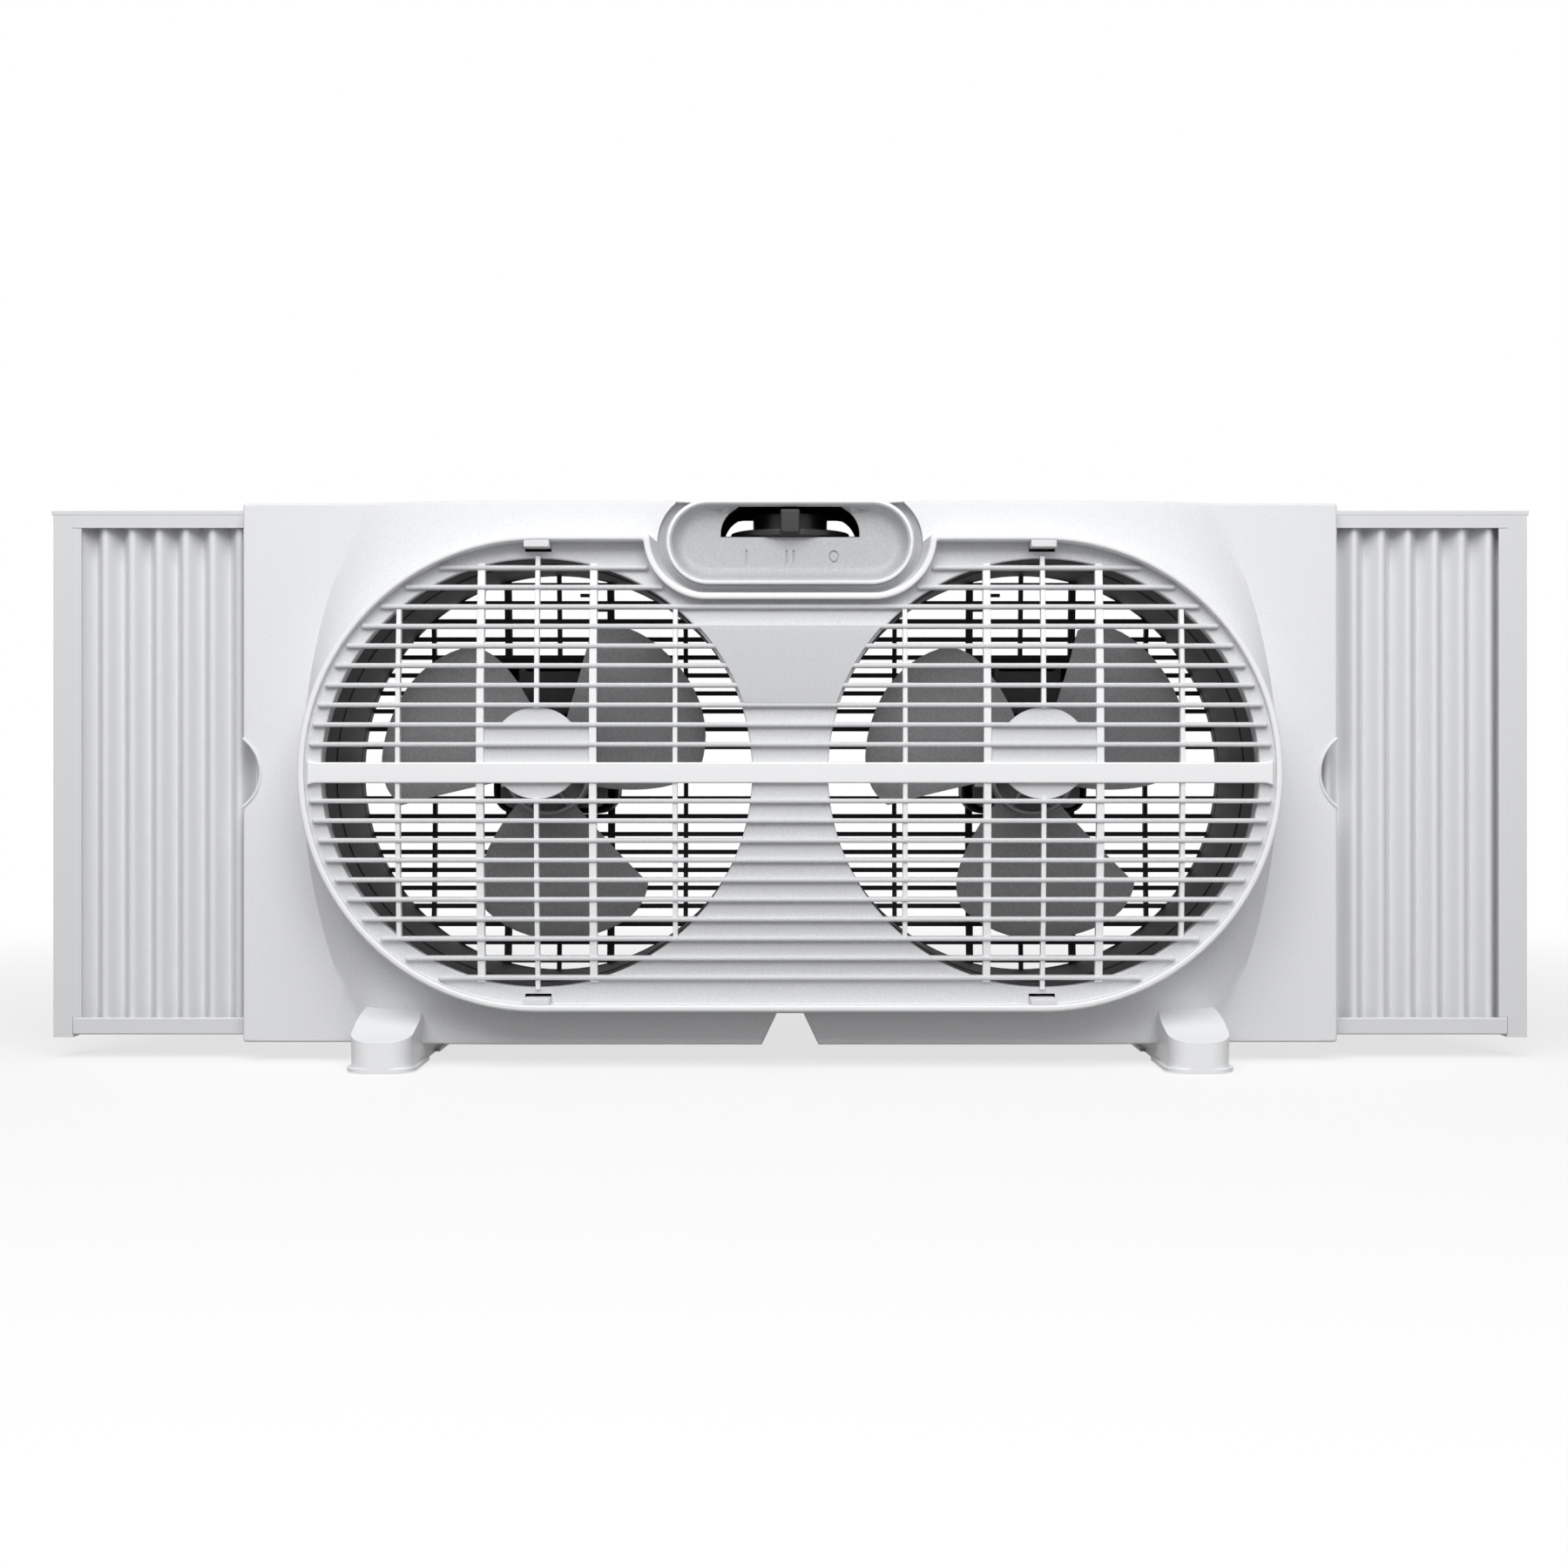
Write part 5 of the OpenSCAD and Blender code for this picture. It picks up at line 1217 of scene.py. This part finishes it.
# The hub is a cup that is open behind, round a boss: (radius, depth) pairs
HUB_WALL = [mm(*p) for p in (
    (23.3, 10), (23.3, -9.4), (23.1, -9.8), (22.7, -10), (21.9, -10), (21.5, -9.8), (21.3, -9.4),
    (21.3, 7.2), (20.5, 8), (7, 8), (7, -8.6), (6.6, -9), (3.02, -9), (3.02, 10))]
HUB_RIB_LO, HUB_RIB_HI, HUB_RIB_ROUND = mm(6.5, -4, -0.9), mm(22, 9, 0.9), 0.3 * MM
DUCT_OUT_R, DUCT_IN_R, DUCT_HALF, DUCT_EDGE, DUCT_STEP, DUCT_STEP_Y = mm(
    115.8, 113.8, 50, 0.4, 0.5, 21)


def blade_point(u, v, face):
    """A point on a blade: u runs from the hub outwards, v from the leading edge, which is at
    the back, to the trailing edge in front."""
    f = settings().fan_rotor
    end = f.tip_r - f.lead_corner * (1 - v) ** LEAD_POWER - f.trail_corner * v ** TRAIL_POWER
    r = f.hub_r - BLADE_ROOT_IN + u * (end - f.hub_r + BLADE_ROOT_IN)
    out = max(0.0, r - f.hub_r)
    part = out / RAKE_SPAN
    lead = f.lead_angle + f.lead_rake * part + f.lead_hook * part ** HOOK_POWER
    trail = f.trail_angle + f.trail_rake * part
    a = math.radians(lead + v * (trail - lead))
    depth = f.root_depth + (f.tip_depth - f.root_depth) * min(1.0, out / DEPTH_SPAN)
    y = BLADE_BACK - depth * v + f.camber * math.sin(math.pi * v)
    return Vector((r * math.cos(a), y + face * f.thickness / 2, r * math.sin(a)))


def add_blade(form, turn):
    """A blade: its back and front faces, and the edge between them."""
    spin = Matrix.Rotation(turn, 3, "Y")
    columns = [j / BLADE_COLUMNS for j in range(BLADE_COLUMNS + 1)]
    vs = [COLUMN_SPREAD * v + (1 - COLUMN_SPREAD) * (0.5 - 0.5 * math.cos(math.pi * v))
          for v in columns]
    borders = []
    for face in MIRRORED:
        rows = [form.add([tuple(spin @ blade_point(i / BLADE_ROWS, v, face)) for v in vs])
                for i in range(BLADE_ROWS + 1)]
        form.skin(rows, closed=False)
        borders.append(rows[0] + [row[-1] for row in rows[1:]] + rows[-1][-2::-1]
                       + [row[0] for row in rows[-2:0:-1]])
    form.bridge(*borders)


def make_fan(side, way):
    """A fan: its hub with ribs inside, and its blades."""
    form = Form()
    form.lathe(HUB_WALL, (0, 0, 0), HUB_STEPS, closed=True)
    for i in range(HUB_RIBS):
        before = len(form.points)
        form.block(HUB_RIB_LO, HUB_RIB_HI, HUB_RIB_ROUND, 1)
        spin = Matrix.Rotation(2 * math.pi * i / HUB_RIBS, 3, "Y")
        form.points[before:] = [tuple(spin @ Vector(p)) for p in form.points[before:]]
    for i in range(BLADES):
        add_blade(form, 2 * math.pi * i / BLADES)
    data = form.mesh(side + "_blade", Matrix.Translation((way * FAN_X, 0, CENTRE_Z)))
    piece(side + "_blade_dressed", data, side + "_fan", ["blade_plastic"], [side + "_blade"],
          bevel=BLADE_ROUND, angle=38)


def make_duct(side, way):
    """A duct with a small step inside, as it comes out of its mould."""
    form = Form()
    r, out, end, edge = DUCT_IN_R, DUCT_OUT_R, DUCT_HALF, DUCT_EDGE
    half = [(out, end - edge), (out - edge, end), (r + edge, end), (r, end - edge),
            (r, DUCT_STEP_Y), (r - DUCT_STEP, DUCT_STEP_Y - DUCT_STEP)]
    profile = half + [(radius, -y) for radius, y in reversed(half)]
    form.lathe(profile, (way * FAN_X, 0, CENTRE_Z), DUCT_STEPS, closed=True)
    piece(side + "_duct_dressed", form.mesh(side + "_duct", HERE), "housing", ["charcoal_plastic"],
          [side + "_duct"], angle=50)


# ---- Screens ----

STRIP_W, STRIP_IN, STRIP_T, STRIP_SET = mm(4.4, 1, 0.8, 0.3)


def make_curtain(side):
    """A pleated curtain between its clamp and the screen's stile."""
    s = settings().fan_screen
    lo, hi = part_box(side + "_curtain")
    data = grown(pleats_tree(), bpy.data.meshes.new("blank"), {
        "Width": hi.x - lo.x, "Height": hi.z - lo.z, "Pleats": s.pleats,
        "Fold": (hi.y - lo.y) / 2 - s.sheet_t, "Crispness": s.crispness, "Thickness": s.sheet_t,
        "Material": FINISHES["curtain_vinyl"]})
    middle = Matrix.Translation(((lo.x + hi.x) / 2, 0, (lo.z + hi.z) / 2))
    obj = piece(side + "_curtain_dressed", tidied(data, middle), "housing", ["curtain_vinyl"],
                [side + "_curtain"], angle=60)
    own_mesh(obj)


def make_frame(side):
    """The rails and the stile of a screen; the stile has a strip beside the pleats."""
    parts = [side + "_top_rail", side + "_bottom_rail", side + "_stile"]
    top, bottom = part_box(parts[0])[0].z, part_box(parts[1])[1].z
    for node in parts:
        data = node_copy(node)
        if node.endswith("stile"):
            lo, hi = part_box(node)
            low, high = ((lo.x - STRIP_W, lo.x + STRIP_IN) if side == "right"
                         else (hi.x - STRIP_IN, hi.x + STRIP_W))
            strips = Form()
            for y in (lo.y + STRIP_SET, hi.y - STRIP_SET - STRIP_T):
                strips.block((low, y, bottom), (high, y + STRIP_T, top), STRIP_T / 3)
            data = joined(data, strips.mesh(node, HERE))
        piece(node + "_dressed", data, side + "_screen", ["screen_plastic"], [node],
              bevel=settings().fan_screen.edge_round)


# ---- Motors and feet ----

# Part, slot, and width of the bevels in millimetres
MOTOR_PARTS = (("stator", "laminations", 0.2), ("coil", "winding", 0.6),
               ("front_bracket", "steel", 0.3), ("rear_bracket", "steel", 0.3))
FOOT_ROUND, FOOT_FLANGE, FOOT_RISE, FOOT_BEVEL, PAD_BEVEL = mm(3, 12, 5.5, 0.4, 0.3)
FOOT_WIDER, FOOT_SHARP = 0.2, math.radians(30)


def make_foot(side):
    """A foot that rises and widens towards the shell, with rounded edges above its flange."""
    data = node_copy(side + "_foot")
    for v in data.vertices:
        if v.co.z > FOOT_FLANGE:
            back = (1 - abs(v.co.y) / FOOT_HI.y) * v.co.z / FOOT_HI.z
            middle = math.copysign((FOOT_LO.x + FOOT_HI.x) / 2, v.co.x)
            v.co.x = middle + (v.co.x - middle) * (1 + FOOT_WIDER * back)
            v.co.z += FOOT_RISE * back
    work = bmesh.new()
    work.from_mesh(data)
    sharp = [e for e in work.edges if len(e.link_faces) == 2
             and min(v.co.z for v in e.verts) > FOOT_FLANGE and e.calc_face_angle() > FOOT_SHARP]
    bmesh.ops.bevel(work, geom=sharp, offset=FOOT_ROUND, segments=4, affect="EDGES", profile=0.5,
                    clamp_overlap=True)
    work.to_mesh(data)
    work.free()
    piece(side + "_foot_dressed", tidied(data), "housing", ["white_plastic"], [side + "_foot"],
          bevel=FOOT_BEVEL)


# ---- Floor and lamps ----

# Places of the lamps in metres, and their sizes
KEY_PLACE, KEY_SIZE = (-0.1, -1.5, 1.7), (2.2, 1.6)
FILL_PLACE, FILL_SIZE = (0.2, -2.3, 0.9), (1.8, 1.2)
SIDE_PLACE, SIDE_SIZE = (1.2, -0.8, 0.3), (0.5, 0.5)
# The floor's colour for the camera, and for the light that it throws back
FLOOR_SHADE, FLOOR_DIM, FLOOR_SIZE, FLOOR_ROUGH = 0.9, 0.25, 8, 0.9
# The floor shows its shadows fully up to one distance in metres, and less beyond
SHADOW_FULL, SHADOW_END, SHADOW_SHARE = 0.45, 1.3, 0.28
SENSOR_W, SHIFT_X, SHIFT_Y = 36, -0.0039, -0.0072


def background_rays(t):
    """1 for rays of the camera, and for those that metal and clear plastic send to the
    background."""
    path = t.node("ShaderNodeLightPath").outputs
    seen = path["Is Camera Ray"]
    for kind in ("Is Glossy Ray", "Is Transmission Ray"):
        seen = t.math("MAXIMUM", seen, path[kind])
    return seen


def floor_white():
    """A matte floor that is seen as white, and keeps the object's shadow near its middle."""
    material = bpy.data.materials.new("floor_white")
    material.use_nodes = True
    t = Nodes(material.node_tree)
    seen = background_rays(t)
    tint = t.out("ShaderNodeMapRange", {"Value": seen, "To Min": FLOOR_DIM, "To Max": FLOOR_SHADE})
    base = t.fit(t.tree.nodes["Principled BSDF"], {"Base Color": tint, "Roughness": FLOOR_ROUGH})
    place = t.node("ShaderNodeTexCoord").outputs["Object"]
    away = t.node("ShaderNodeVectorMath", {0: place}, operation="LENGTH").outputs["Value"]
    share = t.out("ShaderNodeMapRange",
                  {"Value": away, "From Min": SHADOW_FULL, "From Max": SHADOW_END,
                   "To Min": 1 - SHADOW_SHARE, "To Max": 1.0}, interpolation_type="SMOOTHSTEP")
    mix = t.out("ShaderNodeMixShader",
                {0: t.math("MULTIPLY", seen, share), 1: base.outputs[0],
                 2: t.out("ShaderNodeEmission", {"Strength": 1.0})})
    t.fit(t.tree.nodes["Material Output"], {"Surface": mix})
    return material


def area_light(name, place, size, power):
    """A lamp that shines at the middle of the fan."""
    light = bpy.data.lights.new(name, "AREA")
    light.shape = "RECTANGLE"
    light.size, light.size_y = size
    light.energy = power
    obj = bpy.data.objects.new(name, light)
    obj.location = place
    aim = Vector((0, 0, CENTRE_Z)) - Vector(place)
    obj.rotation_euler = aim.to_track_quat("-Z", "Y").to_euler()
    bpy.context.scene.collection.objects.link(obj)


def world_white(ambient):
    """A world that lights weakly, and is seen as white."""
    world = bpy.data.worlds.new("world")
    world.use_nodes = True
    t = Nodes(world.node_tree)
    sky = t.fit(t.tree.nodes["Background"], {"Color": WHITE, "Strength": ambient})
    mix = t.out("ShaderNodeMixShader", {0: background_rays(t), 1: sky.outputs[0],
                                        2: t.out("ShaderNodeBackground", {"Color": WHITE})})
    t.fit(t.tree.nodes["World Output"], {"Surface": mix})
    return world


# ---- Operators ----

class WINDOWFAN_OT_finishes(Operator):
    """Makes the materials, and gives them to the CAD nodes that stay in view"""
    bl_idname = "window_fan.finishes"
    bl_label = "Finishes"

    def execute(self, context):
        f = context.scene.fan_finish
        grain = fine_grain()
        plastic("white_plastic", f.white, grain, 0.38, 0.02)
        plastic("white_grain", f.grained, grain, 0.55, 0.18, 0.3, COARSE)
        plastic("plate_grain_painted_shade", f.plate, grain, 0.55, 0.3, 0.3, COARSE)
        plastic("middle_grain_painted_shade", f.middle, grain, 0.55, 0.2, 0.2, COARSE)
        plastic("well_grain_and_wall_shade", f.well, grain, 0.6, 0.45, 0.4, COARSE)
        plastic("screen_plastic", f.screen, grain, 0.42, 0.04)
        plastic("charcoal_plastic", f.charcoal, grain, 0.6, 0.9, 0.3, COARSE, specular=0.3)
        plastic("black_plastic", f.black, grain, 0.38, 0.4, specular=0.4)
        plastic("matt_black", f.black, grain, 0.9, 0.4, specular=0.0)
        plastic("blade_plastic", f.blade, grain, 0.55, 0.8, 0.3, COARSE)
        plastic("curtain_vinyl", f.vinyl, grain, 0.5, 0.04)
        plastic("rubber", f.rubber, grain, 0.85, 0.4, 0.5)
        plastic("steel", f.steel, grain, 0.34, 0.12, metallic=1.0)
        plastic("bronze", f.bronze, grain, 0.4, 0.3, metallic=1.0)
        striped("laminations", f.lamination, grain, 320.0, "Y", 0.6, 0.45)
        striped("winding", f.winding, grain, 900.0, "X", 0.2, 0.4)
        slots = {p["node"]: p["material_slot"] for p in frame["record"]["subparts"]}
        for name, node in NODES.items():
            node.data.materials.clear()
            node.data.materials.append(FINISHES[slots[name]])
        return {"FINISHED"}


class WINDOWFAN_OT_shells(Operator):
    """Builds the front and rear shells of the housing"""
    bl_idname = "window_fan.shells"
    bl_label = "Housing shells"

    def execute(self, context):
        piece("front_housing_dressed", shell_form(FRONT, "front_housing"), "housing",
              ["white_grain"], ["front_housing"])
        piece("rear_housing_dressed", shell_form(REAR, "rear_housing"), "housing",
              ["charcoal_plastic"], ["rear_housing"])
        return {"FINISHED"}


class WINDOWFAN_OT_grilles(Operator):
    """Builds the front grille and the rear grille with its motor trays"""
    bl_idname = "window_fan.grilles"
    bl_label = "Grilles"

    def execute(self, context):
        make_grille("front_grille", FRONT, ["white_plastic", "plate_grain_painted_shade", "middle_grain_painted_shade"], True)
        make_grille("rear_grille", REAR, ["charcoal_plastic"] * 3, False)
        return {"FINISHED"}


class WINDOWFAN_OT_controls(Operator):
    """Builds the bezels, the knob and its tunnel"""
    bl_idname = "window_fan.controls"
    bl_label = "Controls"

    def execute(self, context):
        cut_bezel("front_control_bezel", FRONT, ["white_plastic", "well_grain_and_wall_shade", "matt_black"])
        cut_bezel("rear_control_bezel", REAR,
                  ["charcoal_plastic", "charcoal_plastic", "matt_black"])
        piece("knob_tunnel_dressed", node_copy("knob_tunnel"), "housing", ["matt_black"],
              ["knob_tunnel"], bevel=TUNNEL_BEVEL)
        make_knob()
        return {"FINISHED"}


class WINDOWFAN_OT_air_path(Operator):
    """Builds the ducts and the fans"""
    bl_idname = "window_fan.air_path"
    bl_label = "Ducts and fans"

    def execute(self, context):
        for side, way in SIDES:
            make_duct(side, way)
            make_fan(side, way)
        return {"FINISHED"}


class WINDOWFAN_OT_screens(Operator):
    """Builds the pleated curtains and their frames"""
    bl_idname = "window_fan.screens"
    bl_label = "Side screens"

    def execute(self, context):
        for side, way in SIDES:
            make_curtain(side)
            make_frame(side)
        return {"FINISHED"}


class WINDOWFAN_OT_feet(Operator):
    """Softens the edges of the feet and their pads"""
    bl_idname = "window_fan.feet"
    bl_label = "Feet"

    def execute(self, context):
        for side, _ in SIDES:
            make_foot(side)
        piece("foot_pads_dressed", node_copy("foot_pads"), "housing", ["rubber"], ["foot_pads"],
              bevel=PAD_BEVEL)
        return {"FINISHED"}


class WINDOWFAN_OT_motors(Operator):
    """Softens the edges of the motors, their brackets and windings"""
    bl_idname = "window_fan.motors"
    bl_label = "Motors"

    def execute(self, context):
        for side, _ in SIDES:
            for part, slot, width in MOTOR_PARTS:
                node = side + "_" + part
                piece(node + "_dressed", node_copy(node), "housing", [slot], [node],
                      bevel=width * MM)
        return {"FINISHED"}


class WINDOWFAN_OT_stage(Operator):
    """Sets up the floor, the lights, the world and the camera"""
    bl_idname = "window_fan.stage"
    bl_label = "Stage"

    def execute(self, context):
        scene, st = context.scene, context.scene.fan_stage
        bpy.ops.mesh.primitive_plane_add(size=FLOOR_SIZE)
        floor = context.object
        floor.name = "floor"
        floor.data.materials.append(floor_white())
        area_light("key", KEY_PLACE, KEY_SIZE, st.key_power)
        area_light("fill", FILL_PLACE, FILL_SIZE, st.fill_power)
        area_light("side", SIDE_PLACE, SIDE_SIZE, st.side_power)
        scene.world = world_white(st.ambient)
        camera = bpy.data.cameras.new("camera")
        camera.lens, camera.sensor_width = st.lens, SENSOR_W
        camera.shift_x, camera.shift_y = SHIFT_X, SHIFT_Y
        eye = bpy.data.objects.new("camera", camera)
        eye.location = (0, -st.distance, CENTRE_Z)
        eye.rotation_euler = (math.pi / 2, 0, 0)
        scene.collection.objects.link(eye)
        scene.camera = eye
        scene.view_settings.view_transform = "Standard"
        return {"FINISHED"}


class WINDOWFAN_PT_panel(Panel):
    """Sizes and colours of the window fan, and the steps that build it"""
    bl_idname = "WINDOWFAN_PT_panel"
    bl_label = "Window Fan"
    bl_space_type = "VIEW_3D"
    bl_region_type = "UI"
    bl_category = "Window Fan"

    def draw(self, context):
        for group, _ in GROUPS:
            values = getattr(context.scene, group)
            box = self.layout.box()
            for key in values.__annotations__:
                box.prop(values, key)
        for step in STEPS:
            self.layout.operator(step.bl_idname)


STEPS = (WINDOWFAN_OT_finishes, WINDOWFAN_OT_shells, WINDOWFAN_OT_grilles, WINDOWFAN_OT_controls,
         WINDOWFAN_OT_air_path, WINDOWFAN_OT_screens, WINDOWFAN_OT_feet, WINDOWFAN_OT_motors,
         WINDOWFAN_OT_stage)
GROUPS = (("fan_shell", FanShellSizes), ("fan_grille", FanGrilleSizes),
          ("fan_rotor", FanRotorSizes), ("fan_screen", FanScreenSizes),
          ("fan_finish", FanFinish), ("fan_stage", FanStage))


def register():
    for _, group in GROUPS:
        bpy.utils.register_class(group)
    for step in STEPS:
        bpy.utils.register_class(step)
    bpy.utils.register_class(WINDOWFAN_PT_panel)
    for name, group in GROUPS:
        setattr(bpy.types.Scene, name, PointerProperty(type=group))


def unregister():
    for name, _ in GROUPS:
        delattr(bpy.types.Scene, name)
    bpy.utils.unregister_class(WINDOWFAN_PT_panel)
    for step in reversed(STEPS):
        bpy.utils.unregister_class(step)
    for _, group in reversed(GROUPS):
        bpy.utils.unregister_class(group)


def main():
    register()
    bpy.ops.window_fan.finishes()
    bpy.ops.window_fan.shells()
    bpy.ops.window_fan.grilles()
    bpy.ops.window_fan.controls()
    bpy.ops.window_fan.air_path()
    bpy.ops.window_fan.screens()
    bpy.ops.window_fan.feet()
    bpy.ops.window_fan.motors()
    bpy.ops.window_fan.stage()


if __name__ == "__main__":
    main()
